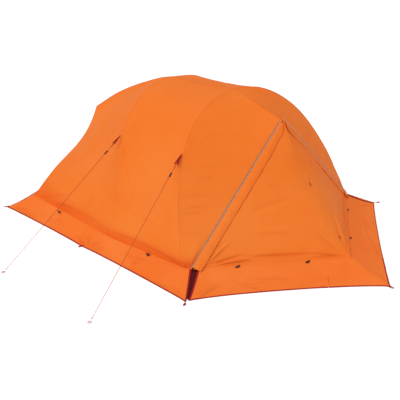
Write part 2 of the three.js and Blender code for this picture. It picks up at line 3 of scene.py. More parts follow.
import bmesh
import bpy
import numpy as np
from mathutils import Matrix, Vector


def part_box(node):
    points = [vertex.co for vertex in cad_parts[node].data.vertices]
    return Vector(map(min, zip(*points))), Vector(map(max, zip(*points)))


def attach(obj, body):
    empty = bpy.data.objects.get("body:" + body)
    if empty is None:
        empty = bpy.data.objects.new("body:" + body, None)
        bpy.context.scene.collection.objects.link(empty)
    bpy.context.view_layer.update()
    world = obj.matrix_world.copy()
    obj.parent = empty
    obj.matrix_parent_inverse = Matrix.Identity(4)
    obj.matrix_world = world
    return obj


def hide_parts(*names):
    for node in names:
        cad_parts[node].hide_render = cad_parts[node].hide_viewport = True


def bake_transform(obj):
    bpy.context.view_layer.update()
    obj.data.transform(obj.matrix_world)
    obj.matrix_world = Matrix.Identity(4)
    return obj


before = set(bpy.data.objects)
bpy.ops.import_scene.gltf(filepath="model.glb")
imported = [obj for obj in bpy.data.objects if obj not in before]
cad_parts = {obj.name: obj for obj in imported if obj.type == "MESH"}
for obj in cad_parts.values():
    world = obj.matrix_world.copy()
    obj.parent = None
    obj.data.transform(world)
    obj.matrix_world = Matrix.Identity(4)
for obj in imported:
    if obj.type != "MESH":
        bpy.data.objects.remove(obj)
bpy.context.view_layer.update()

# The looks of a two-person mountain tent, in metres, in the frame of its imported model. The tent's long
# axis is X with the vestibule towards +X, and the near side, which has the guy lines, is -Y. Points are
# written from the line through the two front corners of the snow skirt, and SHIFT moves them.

SHIFT = np.array([0.9, 0.0, 0.0])
NEAR, FAR = "left", "right"

# ---------------------------------------------------------------- driving sizes, as in the CAD part

HEM = 0.100
FRONT_HEM_CORNER = np.array([-0.150, -0.890, HEM])
REAR_HEM_CORNER = np.array([-1.955, -0.930, HEM])
HEM_TIP = np.array([0.519, 0.0, HEM])
HEM_TAIL = np.array([-2.460, 0.0, HEM])
FRONT_APEX = np.array([-0.134, 0.0, 0.950])
REAR_APEX = np.array([-2.274, 0.0, 0.588])
SKIRT_CORNER = np.array([0.0, -1.094, 0.0])
SKIRT_REAR_CORNER = np.array([-2.118, -1.094, 0.0])
SKIRT_TIP = np.array([0.847, 0.0, 0.0])
SKIRT_TAIL = np.array([-2.647, 0.0, 0.0])
REAR_EDGE_SLACK = 0.85
HOOP_LEAN = -0.407
FRONT_HOOP_X, REAR_HOOP_X = -0.156, -0.860
FRONT_HOOP = [(.915, .100), (.890, .240), (.856, .400), (.765, .612), (.643, .796), (.463, .952),
              (.250, 1.051), (0, 1.088)]
REAR_HOOP = [(.978, .100), (.872, .262), (.776, .470), (.696, .630), (.592, .775), (.452, .902),
             (.268, 1.008), (0, 1.048)]
RIDGE = [(-.134, .950), (-.340, 1.030), (-.599, 1.088), (-.940, 1.066), (-1.283, 1.048),
         (-1.600, .944), (-1.950, .785), (-2.274, .588)]
CREASE = [(.519, .100), (.380, .213), (.190, .446), (.103, .540), (.048, .612), (-.004, .702),
          (-.050, .792), (-.092, .868), (-.134, .950)]
CREASE_SLACK, CREASE_HANG, TOGGLE_STANDOFF = 0.225, np.array([-0.793, 0, -0.609]), 0.017
POLE_RADIUS, POLE_INSET, RIDGE_POLE_DROP = 0.0045, 0.024, 0.036
FLOOR_HALF, FLOOR_FRONT, FLOOR_SIDE_END, FLOOR_TAIL, TUB_TOP = 0.780, -0.195, -1.900, -2.330, 0.110
INNER_FRONT_X, INNER_REAR_X = -0.191, -0.895
INNER_FRONT = [(.779, .112), (.762, .320), (.682, .610), (.562, .780), (.385, .925), (.200, 1.004),
               (0, 1.030)]
INNER_REAR = [(.779, .112), (.748, .330), (.636, .610), (.516, .762), (.380, .870), (.220, .950), (0, .985)]
INNER_REAR_APEX = np.array([-2.190, 0.0, 0.480])
DOOR_HALF, DOOR_SILL, DOOR_SHOULDER = 0.420, 0.140, 0.620
GUY_DIAMETER = 0.0035
GUYS = {
    "front": dict(start=(-.46640, -.71004, .74852), end=(-.26412, -1.66231, .01193), ground=(-.261, -1.677),
                  tensioner=(-.44751, -.79896, .67974), length=1.2208),
    "rear": dict(start=(-1.16718, -.68035, .70904), end=(-1.19163, -1.69256, .01126), ground=(-1.192, -1.708),
                 tensioner=(-1.16945, -.77419, .64436), length=1.2297),
}
GUSSET_SHARE = 0.30
BINDING = 0.011
SEAM_TAPE = 0.0065
ZIP_INSET = 0.0065              # the cloth on both sides ends this far from the zip's middle


# ---------------------------------------------------------------- numbers

def unit(a):
    return a / np.maximum(np.linalg.norm(a, axis=-1, keepdims=True), 1e-12)


def mix(a, b, t):
    t = np.asarray(t, float)[..., None]
    return a + (b - a) * t


def smooth(x, low=0.0, high=1.0):
    t = np.clip((x - low) / (high - low), 0, 1)
    return t * t * (3 - 2 * t)


def mirror(p):
    return np.asarray(p) * np.array([1, -1, 1])


def sided(side):
    """A function that leaves points on the near side or mirrors them to the far side."""
    return np.asarray if side == NEAR else mirror


def run(start, end, count):
    """Evenly spaced points from start to end."""
    return mix(np.asarray(start, float), np.asarray(end, float), np.linspace(0, 1, count))


def turn(count):
    return np.linspace(0, 2 * np.pi, count, endpoint=False)


def arc(centre, first, second, angles):
    """Points on an ellipse round a centre, with its half axes given as vectors."""
    return centre + np.outer(np.cos(angles), first) + np.outer(np.sin(angles), second)


def lengths(line):
    """The length along a line up to each of its points."""
    return np.concatenate([[0], np.cumsum(np.linalg.norm(np.diff(line, axis=0), axis=1))])


def along_line(line, s, at):
    return np.stack([np.interp(at, s, line[:, k]) for k in range(line.shape[1])], -1)


def curve_through(points, dense=48):
    """A centripetal Catmull-Rom curve as a function of its share of length, and its length."""
    p = np.array(points, float)
    p = np.vstack([2 * p[0] - p[1], p, 2 * p[-1] - p[-2]])
    runs = []
    for k in range(1, len(p) - 2):
        a, b, c, d = p[k - 1:k + 3]
        t1 = np.linalg.norm(b - a) ** 0.5
        t2 = t1 + np.linalg.norm(c - b) ** 0.5
        t3 = t2 + np.linalg.norm(d - c) ** 0.5
        t = np.linspace(t1, t2, dense, endpoint=False)[:, None]
        ab = (t1 - t) / t1 * a + t / t1 * b
        bc = (t2 - t) / (t2 - t1) * b + (t - t1) / (t2 - t1) * c
        cd = (t3 - t) / (t3 - t2) * c + (t - t2) / (t3 - t2) * d
        abc = (t2 - t) / t2 * ab + t / t2 * bc
        bcd = (t3 - t) / (t3 - t1) * bc + (t - t1) / (t3 - t1) * cd
        runs.append((t2 - t) / (t2 - t1) * abc + (t - t1) / (t2 - t1) * bcd)
    line = np.vstack(runs + [p[-2:-1]])
    s = lengths(line)
    return (lambda share: along_line(line, s, np.asarray(share) * s[-1])), s[-1]


def noise(p, scale, seed):
    """Smooth value noise from -1 to 1 at points p."""
    q = np.asarray(p, float) / scale + 40.5
    cell = np.floor(q).astype(int)
    f = q - cell
    f = f * f * (3 - 2 * f)
    table = np.random.default_rng(seed).uniform(-1, 1, 4096)

    def corner(dx, dy, dz):
        k = (cell[..., 0] + dx) * 73856093 ^ (cell[..., 1] + dy) * 19349663 ^ (cell[..., 2] + dz) * 83492791
        return table[k % 4096]
    total = 0
    for dx in (0, 1):
        for dy in (0, 1):
            for dz in (0, 1):
                w = (f[..., 0] if dx else 1 - f[..., 0]) * (f[..., 1] if dy else 1 - f[..., 1])
                total = total + w * (f[..., 2] if dz else 1 - f[..., 2]) * corner(dx, dy, dz)
    return total


def normals_of(grid, outward):
    """Unit normals of a grid of points, on the side that outward(points) points to."""
    du = np.gradient(grid, axis=1)
    dv = np.gradient(grid, axis=0)
    n = np.cross(du, dv)
    size = np.linalg.norm(n, axis=-1, keepdims=True)
    n = np.where(size > 1e-9, n / np.maximum(size, 1e-9), 0)
    ref = outward(grid)
    n = np.where(np.sum(n * ref, -1, keepdims=True) < 0, -n, n)
    flat = np.linalg.norm(n, axis=-1) < 0.5
    n[flat] = unit(ref)[flat]
    return n


# ---------------------------------------------------------------- meshes

def build(name, verts, faces, uvs, material, body=None):
    mesh = bpy.data.meshes.new(name)
    mesh.from_pydata((np.asarray(verts) + SHIFT).tolist(), [], faces)
    layer = mesh.uv_layers.new(name="UVMap")
    corners = [np.asarray(u, np.float32).reshape(-1, 2) for u in uvs]
    layer.data.foreach_set("uv", np.concatenate(corners).ravel())
    mesh.polygons.foreach_set("use_smooth", [True] * len(mesh.polygons))
    mesh.materials.append(material)
    obj = bpy.data.objects.new(name, mesh)
    bpy.context.scene.collection.objects.link(obj)
    if body:
        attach(obj, body)
    return obj


def outward_faces(obj):
    """Makes the faces of a closed piece point outwards and merges its doubled corners."""
    bm = bmesh.new()
    bm.from_mesh(obj.data)
    bmesh.ops.remove_doubles(bm, verts=bm.verts, dist=1e-6)
    bmesh.ops.recalc_face_normals(bm, faces=bm.faces)
    bm.to_mesh(obj.data)
    bm.free()
    return obj


def grid_faces(rows, columns, start=0):
    k = np.arange(rows * columns).reshape(rows, columns) + start
    return np.stack([k[:-1, :-1], k[:-1, 1:], k[1:, 1:], k[1:, :-1]], -1).reshape(-1, 4)


def grid_uv(grid):
    """Coordinates in metres across and along a grid of points."""
    u = np.zeros(grid.shape[:2])
    v = np.zeros(grid.shape[:2])
    u[:, 1:] = np.cumsum(np.linalg.norm(np.diff(grid, axis=1), axis=-1), axis=1)
    v[1:] = np.cumsum(np.linalg.norm(np.diff(grid, axis=0), axis=-1), axis=0)
    return np.stack([u, v], -1)


def cloth(name, grids, look, replaces, body=None, weld=1e-5):
    """One sheet from one or more grids whose shared edges are sewn together; each is (points, flipped)."""
    verts, faces, uvs, count = [], [], [], 0
    for grid, flip in grids:
        quads = grid_faces(*grid.shape[:2])
        uv = grid_uv(grid).reshape(-1, 2)
        if flip:
            quads = quads[:, ::-1]
            uv = uv + [7.0, 0]
        verts.append(grid.reshape(-1, 3))
        uvs.append(uv[quads.ravel()])
        faces += (quads + count).tolist()
        count += grid.shape[0] * grid.shape[1]
    obj = build(name, np.vstack(verts), faces, uvs, LOOKS[look])
    bm = bmesh.new()
    bm.from_mesh(obj.data)
    bmesh.ops.remove_doubles(bm, verts=bm.verts, dist=weld)
    bmesh.ops.dissolve_degenerate(bm, edges=bm.edges, dist=1e-7)
    bm.to_mesh(obj.data)
    bm.free()
    if body:
        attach(obj, body)
    for node in replaces:
        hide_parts(node)
    return obj


def sweep(path, normal, profile, size=None, closed=False):
    """A section carried along a path, with its own height towards the normal."""
    path = np.asarray(path, float)
    n = len(path)
    if closed:
        tangent = unit(np.roll(path, -1, 0) - np.roll(path, 1, 0))
    else:
        tangent = unit(np.gradient(path, axis=0))
    normal = np.broadcast_to(np.asarray(normal, float), path.shape)
    side = unit(np.cross(tangent, normal))
    up = np.cross(side, tangent)
    section = profile[None] * (np.ones(n) if size is None else size)[:, None, None]
    verts = path[:, None] + side[:, None] * section[..., :1] + up[:, None] * section[..., 1:]
    m = len(profile)
    along = lengths(path)
    around = lengths(np.vstack([profile, profile[:1]]))
    flat = np.ptp(profile[:, 0]) > 2.5 * np.ptp(profile[:, 1])
    faces, uvs = [], []
    last = n if closed else n - 1
    pitch = along[-1] / max(n - 1, 1)
    for i in range(last):
        j = (i + 1) % n
        s0, s1 = along[i], (along[j] if j else along[-1] + pitch)
        for k in range(m):
            q = (k + 1) % m
            faces.append([i * m + k, i * m + q, j * m + q, j * m + k])
            c0, c1 = (profile[k, 0], profile[q, 0]) if flat else (around[k], around[k + 1])
            uvs.append([[s0, c0], [s0, c1], [s1, c1], [s1, c0]])
    if not closed:
        faces.append(list(range(m))[::-1])
        uvs.append(np.stack([np.zeros(m), profile[::-1, 0]], 1))
        faces.append([(n - 1) * m + k for k in range(m)])
        uvs.append(np.stack([np.full(m, along[-1]), profile[:, 0]], 1))
    return verts.reshape(-1, 3), faces, uvs


def rod(path, normal, radius, sides=8, size=None, closed=False):
    """A round cord, wire or tube along a path."""
    a = turn(sides)
    return sweep(path, normal, np.stack([np.cos(a), np.sin(a)], 1) * radius, size, closed)


def band(path, normal, width, thick, lift=0.0, size=None):
    """A webbing or tape with rounded edges, lying on the path that it follows."""
    w, t, b = width / 2, thick / 2, min(thick * 0.45, width * 0.2)
    xs = [-w, -w + b, -w / 3, w / 3, w - b, w, w, w - b, w / 3, -w / 3, -w + b, -w]
    ys = [t - b, t, t, t, t, t - b, b - t, -t, -t, -t, -t, b - t]
    return sweep(path, normal, np.stack([xs, np.array(ys) + t + lift], 1), size)


def piece(name, parts, look, body="tent", replaces=None):
    """A closed piece made of one or more swept or moulded parts."""
    verts, faces, uvs, count = [], [], [], 0
    for part_verts, part_faces, part_uvs in parts:
        verts.append(part_verts)
        faces += [[k + count for k in face] for face in part_faces]
        uvs += list(part_uvs)
        count += len(part_verts)
    obj = outward_faces(build(name, np.vstack(verts), faces, uvs, LOOKS[look], body))
    if replaces:
        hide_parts(replaces)
    return obj


def block_data(size, centre, axes, bevel, segments=2, dents=()):
    """A moulded block with rounded edges; dents are (axis, offset, reach, depth) waists pressed into it."""
    bm = bmesh.new()
    bmesh.ops.create_cube(bm, size=1)
    for v in bm.verts:
        v.co = Vector([c * s for c, s in zip(v.co, size)])
    bmesh.ops.bevel(bm, geom=bm.edges[:], offset=bevel, segments=segments, profile=0.6, affect="EDGES")
    bmesh.ops.subdivide_edges(bm, edges=[e for e in bm.edges if e.calc_length() > max(size) * 0.4], cuts=5)
    local = np.array([v.co for v in bm.verts])
    faces = [[v.index for v in f.verts] for f in bm.faces]
    bm.free()
    for axis, offset, reach, depth in dents:
        pull = 1 - depth * np.exp(-((local[:, axis] - offset) / reach) ** 2)
        others = [k for k in range(3) if k != axis]
        local[:, others] *= pull[:, None]
    verts = np.asarray(centre) + local @ np.asarray(axes)
    uvs = [local[f][:, :2] for f in faces]
    return verts, faces, uvs


# ---------------------------------------------------------------- materials

class Paint:
    """A material's node tree, written as sums."""

    def __init__(self, name, roughness, metallic=0.0, **extra):
        self.material = bpy.data.materials.new(name)
        self.material.use_nodes = True
        self.tree = self.material.node_tree
        self.shader = self.tree.nodes["Principled BSDF"]
        self.shader.inputs["Roughness"].default_value = roughness
        self.shader.inputs["Metallic"].default_value = metallic
        for key, value in extra.items():
            self.shader.inputs[key.replace("_", " ")].default_value = value
        self.coords = self.tree.nodes.new("ShaderNodeTexCoord")
        split = self.node("ShaderNodeSeparateXYZ", Vector=self.coords.outputs["UV"])
        self.u, self.v = split.outputs[0], split.outputs[1]

    def node(self, kind, settings=(), **inputs):
        n = self.tree.nodes.new(kind)
        for key, value in dict(settings).items():
            setattr(n, key, value)
        for key, value in inputs.items():
            self.put(n.inputs[key], value)
        return n

    def put(self, socket, value):
        if isinstance(value, bpy.types.NodeSocket):
            self.tree.links.new(value, socket)
        else:
            socket.default_value = value

    def math(self, operation, a, b=0.0, clamp=False):
        n = self.tree.nodes.new("ShaderNodeMath")
        n.operation = operation
        n.use_clamp = clamp
        self.put(n.inputs[0], a)
        self.put(n.inputs[1], b)
        return n.outputs[0]

    def noise(self, scale, detail=2.0, rough=0.5, where=None, stretch=None):
        vector = where or self.coords.outputs["Object"]
        if stretch:
            vector = self.node("ShaderNodeMapping", Vector=vector, Scale=stretch).outputs[0]
        return self.node("ShaderNodeTexNoise", Vector=vector, Scale=scale, Detail=detail,
                         Roughness=rough).outputs[0]

    def span(self, value, low, high, to_low=0.0, to_high=1.0):
        n = self.node("ShaderNodeMapRange", Value=value)
        for key, number in (("From Min", low), ("From Max", high), ("To Min", to_low), ("To Max", to_high)):
            n.inputs[key].default_value = number
        return n.outputs[0]

    def blend(self, share, a, b):
        n = self.tree.nodes.new("ShaderNodeMix")
        n.data_type = "RGBA"
        self.put(n.inputs[0], share)
        for socket, colour in ((n.inputs[6], a), (n.inputs[7], b)):
            self.put(socket, colour if isinstance(colour, bpy.types.NodeSocket) else (*colour, 1))
        return n.outputs[2]

    def stripes(self, value, pitch, share):
        """1 on thin lines a pitch apart, 0 between them."""
        phase = self.math("FRACT", self.math("DIVIDE", value, pitch))
        off = self.math("ABSOLUTE", self.math("SUBTRACT", phase, 0.5))
        return self.span(off, share, share * 0.4)

    def stitches(self, offsets, pitch=0.0042, thread=0.0005):
        """1 on rows of stitches that run along u at the given v."""
        phase = self.math("FRACT", self.math("DIVIDE", self.u, pitch))
        dash = self.span(self.math("ABSOLUTE", self.math("SUBTRACT", phase, 0.5)), 0.36, 0.28)
        rows = 0.0
        for at in offsets:
            off = self.math("ABSOLUTE", self.math("SUBTRACT", self.v, at))
            rows = self.math("ADD", self.span(off, thread, thread * 0.4), rows, clamp=True)
        return self.math("MULTIPLY", dash, rows)

    def bump(self, height, distance, strength=1.0):
        n = self.node("ShaderNodeBump", Height=height, Distance=distance, Strength=strength)
        self.tree.links.new(n.outputs[0], self.shader.inputs["Normal"])
        return n.outputs[0]

    def colour(self, value):
        self.put(self.shader.inputs["Base Color"], value)

    def glow(self, share, colour, normal):
        """Lets light through thin cloth."""
        back = self.node("ShaderNodeBsdfTranslucent", Normal=normal)
        self.put(back.inputs["Color"], colour if isinstance(colour, bpy.types.NodeSocket) else (*colour, 1))
        both = self.node("ShaderNodeMixShader")
        both.inputs[0].default_value = share
        self.tree.links.new(self.shader.outputs[0], both.inputs[1])
        self.tree.links.new(back.outputs[0], both.inputs[2])
        self.tree.links.new(both.outputs[0], self.tree.nodes["Material Output"].inputs["Surface"])


def ripstop(name, tones, glow=0.26, roughness=0.62, rows=(), thread=(.6, .1, .05), foot=0.0):
    """Coated ripstop nylon: a fine square grid, soft changes of tone, fine crumple and a low sheen; with foot
    set, painted shade deepens the tone low on the walls.
    """
    base, deep, light = tones
    m = Paint(name, roughness, Sheen_Weight=0.05, Sheen_Roughness=0.4, Sheen_Tint=(.95, .30, .05, 1),
              Specular_IOR_Level=0.03)
    grid = m.math("MAXIMUM", m.stripes(m.u, 0.005, 0.09), m.stripes(m.v, 0.005, 0.09))
    broad = m.noise(1.7, 2.0)
    crumple = m.noise(9.0, 4.0, 0.55)
    tone = m.blend(m.span(broad, 0.38, 0.64), deep, base)
    tone = m.blend(m.span(crumple, 0.35, 0.8, 0.0, 0.22), tone, light)
    tone = m.blend(m.math("MULTIPLY", grid, 0.16), tone, light)
    # Painted shade: over the lowest 95 mm above the hem the tone blends, in noisy patches, towards a deep
    # red-orange that stands in for the shade at the wall's foot.
    if foot:
        rise = m.node("ShaderNodeSeparateXYZ", Vector=m.coords.outputs["Object"]).outputs[2]
        low = m.math("MULTIPLY", m.span(rise, HEM, HEM + .095, foot, 0.0),
                     m.span(broad, 0.30, 0.60, 0.55, 1.0))
        tone = m.blend(low, tone, PAINTED_FOOT_SHADE)
    weave = m.noise(900.0, 1.0, 0.4, where=m.coords.outputs["UV"], stretch=(1.0, 0.35, 1.0))
    height = m.math("ADD", m.math("MULTIPLY", grid, 0.35), m.math("MULTIPLY", weave, 0.25))
    if rows:
        sewn = m.stitches(rows)
        tone = m.blend(m.math("MULTIPLY", sewn, 0.75), tone, thread)
        height = m.math("ADD", height, m.math("MULTIPLY", sewn, 1.6))
    fine = m.bump(height, 0.0004, 0.5)
    soft = m.node("ShaderNodeBump", Height=crumple, Distance=0.005, Strength=0.42, Normal=fine).outputs[0]
    m.tree.links.new(soft, m.shader.inputs["Normal"])
    m.colour(tone)
    m.put(m.shader.inputs["Roughness"], m.span(crumple, 0.3, 0.75, roughness - 0.06, roughness + 0.08))
    if glow:
        m.glow(glow, THROUGH, soft)
    return m.material


def webbing_paint(name, base, deep, edge=0.0085, rib=0.0014):
    """Woven tape: ribs across it, a thread line near each edge and a patchy worn tone."""
    m = Paint(name, 0.66, Sheen_Weight=0.05, Sheen_Roughness=0.4, Sheen_Tint=(*base, 1),
              Specular_IOR_Level=0.08)
    ribs = m.stripes(m.u, rib, 0.30)
    wear = m.noise(160.0, 3.0)
    tone = m.blend(m.span(wear, 0.3, 0.7), deep, base)
    tone = m.blend(m.math("MULTIPLY", ribs, 0.35), tone, tuple(min(1, c * 1.6 + 0.01) for c in base))
    sewn = m.stitches((-edge, edge), 0.0036, 0.0005)
    tone = m.blend(m.math("MULTIPLY", sewn, 0.6), tone, tuple(min(1, c * 2.4 + 0.03) for c in base))
    height = m.math("ADD", m.math("MULTIPLY", ribs, 0.6), m.math("MULTIPLY", sewn, 1.2))
    m.bump(height, 0.0005, 0.8)
    m.colour(tone)
    return m.material


def braid_paint(name, base, fleck):
    """Braided cord: two crossing twists with a reflective fleck."""
    m = Paint(name, 0.70, Sheen_Weight=0.02, Specular_IOR_Level=0.08)
    turn = m.math("MULTIPLY", m.v, 0.6)
    one = m.stripes(m.math("ADD", m.u, turn), 0.0022, 0.32)
    two = m.stripes(m.math("SUBTRACT", m.u, turn), 0.0022, 0.32)
    tone = m.blend(m.math("MULTIPLY", m.math("MAXIMUM", one, two), 0.5), base, tuple(c * 1.5 for c in base))
    tone = m.blend(m.math("MULTIPLY", m.stripes(m.math("ADD", m.u, turn), 0.0176, 0.06), 0.7), tone, fleck)
    m.bump(m.math("MAXIMUM", one, two), 0.0005, 0.9)
    m.colour(tone)
    return m.material


def plastic_paint(name, base, worn, roughness=0.42):
    """Moulded nylon: fine grain, small scuffs and slightly paler worn patches."""
    m = Paint(name, roughness, Specular_IOR_Level=0.22, Coat_Weight=0.03, Coat_Roughness=0.35)
    grain = m.noise(1400.0, 2.0)
    scuff = m.noise(120.0, 4.0, 0.7)
    m.colour(m.blend(m.span(scuff, 0.56, 0.72, 0.0, 0.5), base, worn))
    m.put(m.shader.inputs["Roughness"], m.span(scuff, 0.35, 0.7, roughness - 0.07, roughness + 0.15))
    m.bump(grain, 0.0003, 0.3)
    return m.material


def alloy_paint(name, base, worn):
    """Anodised pole: drawing lines along the tube, dulled where hands hold it."""
    m = Paint(name, 0.30, metallic=1.0)
    lines = m.noise(700.0, 2.0, where=m.coords.outputs["UV"], stretch=(0.02, 1.0, 1.0))
    patches = m.noise(14.0, 3.0)
    m.colour(m.blend(m.span(patches, 0.42, 0.75, 0.0, 0.6), base, worn))
    m.put(m.shader.inputs["Roughness"], m.span(patches, 0.3, 0.7, 0.22, 0.42))
    m.bump(lines, 0.0002, 0.4)
    return m.material


def coil_paint(name, tape, tooth):
    """Zip tape with a row of coil teeth down the middle."""
    m = Paint(name, 0.5)
    middle = m.span(m.math("ABSOLUTE", m.v), 0.0026, 0.0020)
    teeth = m.math("MULTIPLY", m.stripes(m.u, 0.0016, 0.3), middle)
    weave = m.stripes(m.u, 0.0009, 0.3)
    tone = m.blend(middle, tape, tuple(c * 0.6 for c in tooth))
    m.colour(m.blend(teeth, tone, tooth))
    m.bump(m.math("ADD", m.math("MULTIPLY", teeth, 1.5), m.math("MULTIPLY", weave, 0.3)), 0.0006, 0.9)
    return m.material


def mesh_cloth_paint(name, base, deep, cell, roughness=0.8, glow=0.35):
    """Breathable inner cloth or netting: a fine even weave with faint streaks."""
    m = Paint(name, roughness, Sheen_Weight=0.3)
    grid = m.math("MULTIPLY", m.stripes(m.u, cell, 0.3), m.stripes(m.v, cell, 0.3))
    streak = m.noise(30.0, 3.0, where=m.coords.outputs["UV"], stretch=(1.0, 0.06, 1.0))
    tone = m.blend(m.span(streak, 0.35, 0.7), deep, base)
    tone = m.blend(m.math("MULTIPLY", grid, 0.3), tone, tuple(c * 0.7 for c in base))
    normal = m.bump(m.math("ADD", grid, m.math("MULTIPLY", streak, 0.4)), 0.0005, 0.5)
    m.colour(tone)
    m.glow(glow, tone, normal)
    return m.material


ORANGE = ((.84, .208, .030), (.83, .184, .021), (.87, .245, .050))
# painted shade: the skirts' orange is a darker copy of the fly's, holding back the extra light the skirts get
# from facing up
SKIRT_ORANGE_SHADED = ((.75, .175, .030), (.74, .145, .018), (.79, .220, .054))
SLATE = ((.115, .120, .130), (.085, .090, .098), (.20, .21, .22))
CRIMSON = ((.34, .011, .014), (.20, .005, .007))
PAINTED_FOOT_SHADE = (.80, .075, .006)     # painted shade: a deep colour laid low on the walls, standing in for the shade at their foot
THROUGH = (.95, .140, .010)     # the colour of light that has come through the orange cloth
LOOKS = {
    # foot: how strongly painted shade deepens the tone low on the walls
    "fly": ripstop("fly_ripstop", ORANGE, foot=.75),
    "door": ripstop("door_ripstop", ORANGE, foot=.15),
    "flap": ripstop("flap_ripstop", ORANGE, rows=(0.006,), thread=(.55, .09, .03)),
    # painted shade: the skirt cloth uses the darker copy of the fly's orange
    "skirt": ripstop("skirt_ripstop", SKIRT_ORANGE_SHADED, glow=0.12, roughness=0.64),
    "seam": ripstop("seam_tape", ORANGE, rows=(-.0022, .0022), thread=(.82, .17, .02)),
    # painted shadow: a dark strip along the storm flap's free edge, standing in for the shadow under it
    "edge": webbing_paint("flap_edge_painted_shadow", (.46, .070, .008), (.36, .045, .005), edge=0.0012, rib=0.0012),
    # painted shadow: a dark strip beside the zip's piping, standing in for the shade the storm flap casts
    # there
    "shade_strip": webbing_paint("zip_painted_shadow_strip", (.20, .13, .10), (.13, .08, .06), edge=0.0012, rib=0.0012),
    "binding": webbing_paint("binding_tape", *CRIMSON, edge=0.0035),
    "webbing": webbing_paint("crimson_webbing", *CRIMSON),
    "dark_webbing": webbing_paint("dark_crimson_webbing", (.27, .008, .006), (.17, .004, .004)),
    "vent": webbing_paint("maroon_gusset", (.075, .003, .004), (.042, .002, .003), edge=0.02, rib=0.002),
    "cord": braid_paint("guy_cord_braid", (.38, .038, .012), (.46, .17, .10)),
    "piping": braid_paint("reflective_piping", (.40, .29, .23), (.60, .55, .50)),
    "string": braid_paint("toggle_string", (.50, .090, .018), (.66, .17, .05)),
    "plastic": plastic_paint("black_nylon", (.012, .011, .011), (.050, .045, .042)),
    "hook": plastic_paint("dark_hook", (.075, .006, .006), (.16, .022, .018)),
    "toggle": plastic_paint("toggle_nylon", (.20, .008, .012), (.34, .030, .030), 0.38),
    "alloy": alloy_paint("gold_alloy", (.74, .47, .13), (.80, .66, .42)),
    "ferrule": alloy_paint("bare_alloy", (.72, .72, .70), (.55, .55, .54)),
    "coil": coil_paint("zip_tape", (.30, .020, .025), (.055, .050, .050)),
    "inner": mesh_cloth_paint("inner_breathable", (.78, .73, .62), (.70, .64, .52), 0.0012),
    "netting": mesh_cloth_paint("inner_netting", (.60, .55, .46), (.50, .45, .38), 0.0024, glow=0.5),
    "floor": ripstop("floor_taffeta", SLATE, glow=0, roughness=0.45),
}


# ---------------------------------------------------------------- the fly's seam lines

def hoop_points(x0, profile):
    return [(x0 + HOOP_LEAN * z, -y, z) for y, z in profile]


front_seam, _ = curve_through(hoop_points(FRONT_HOOP_X, FRONT_HOOP))
rear_seam, _ = curve_through(hoop_points(REAR_HOOP_X, REAR_HOOP))
inner_front_line, _ = curve_through(hoop_points(INNER_FRONT_X, INNER_FRONT))
inner_rear_line, _ = curve_through(hoop_points(INNER_REAR_X, INNER_REAR))
ridge_line, _ = curve_through([(x, 0, z) for x, z in RIDGE])
crease_curve, _ = curve_through([(x, 0, z) for x, z in CREASE])
RIDGE_SAMPLES = ridge_line(np.linspace(0, 1, 400))
CREASE_SAMPLES = crease_curve(np.linspace(0, 1, 300))


def zip_edge(v):
    return mix(FRONT_HEM_CORNER, FRONT_APEX, v)


def rear_edge(v):
    p = mix(REAR_HEM_CORNER, REAR_APEX, v)
    p[..., 2] -= REAR_EDGE_SLACK * (1 - v) * v ** 3
    return p


def tail_edge(v):
    return mix(HEM_TAIL, REAR_APEX, v)


def ridge_height(x):
    return np.interp(-x, -RIDGE_SAMPLES[:, 0], RIDGE_SAMPLES[:, 2])


AWAY = lambda g: g - np.array([-0.9, 0, 0.25])
UPWARD = lambda g: np.broadcast_to([0.0, 0.0, 1.0], g.shape)
FOLD_REACH = 0.30               # a fold is nothing further than this from its ends


def folds_on(grid, normal, folds):
    """How far each point moves along its normal for a list of folds: from, to, width, depth, skew."""
    move = np.zeros(grid.shape[:2])
    flat = grid.reshape(-1, 3)
    for start, end, width, depth, skew in folds:
        a = flat[np.argmin(np.linalg.norm(flat - np.array(start), axis=1))]
        b = flat[np.argmin(np.linalg.norm(flat - np.array(end), axis=1))]
        line = b - a
        length = np.linalg.norm(line)
        if length < 1e-4:
            continue
        t = (grid - a) @ line / length ** 2
        off = grid - (a + np.clip(t, 0, 1)[..., None] * line)
        off = off - np.sum(off * normal, -1, keepdims=True) * normal
        bend = 0.10 * width * np.sin(7 * t + 40 * width)
        side = np.sum(off * unit(np.cross(normal, line)), -1) + bend
        x = side / width
        over = np.maximum(np.abs(t - 0.5) - 0.5, 0) * length / width
        taper = np.clip(np.sin(np.pi * np.clip(t, 0.02, 0.98)), 0, 1) ** 0.6
        shape = np.exp(-x ** 2) * (1 + skew * x)
        near = np.linalg.norm(grid - (a + b) / 2, axis=-1) < length / 2 + FOLD_REACH
        move += np.where(near, depth * taper * shape * np.exp(-over ** 2), 0)
    return move


def fan(centre, tips, width, depth, skew=0.6):
    """Folds that start near one pulled point."""
    centre = np.array(centre)
    out = []
    for k, tip in enumerate(tips):
        tip = np.array(tip)
        start = centre + (tip - centre) * 0.06
        out.append((start, tip, width * (0.8 + 0.12 * (k % 4)), depth * (1 if k % 2 == 0 else -0.8), skew))
    return out


GUY_POINT_FRONT, GUY_POINT_REAR = (-.461, -.686, .750), (-1.163, -.638, .745)

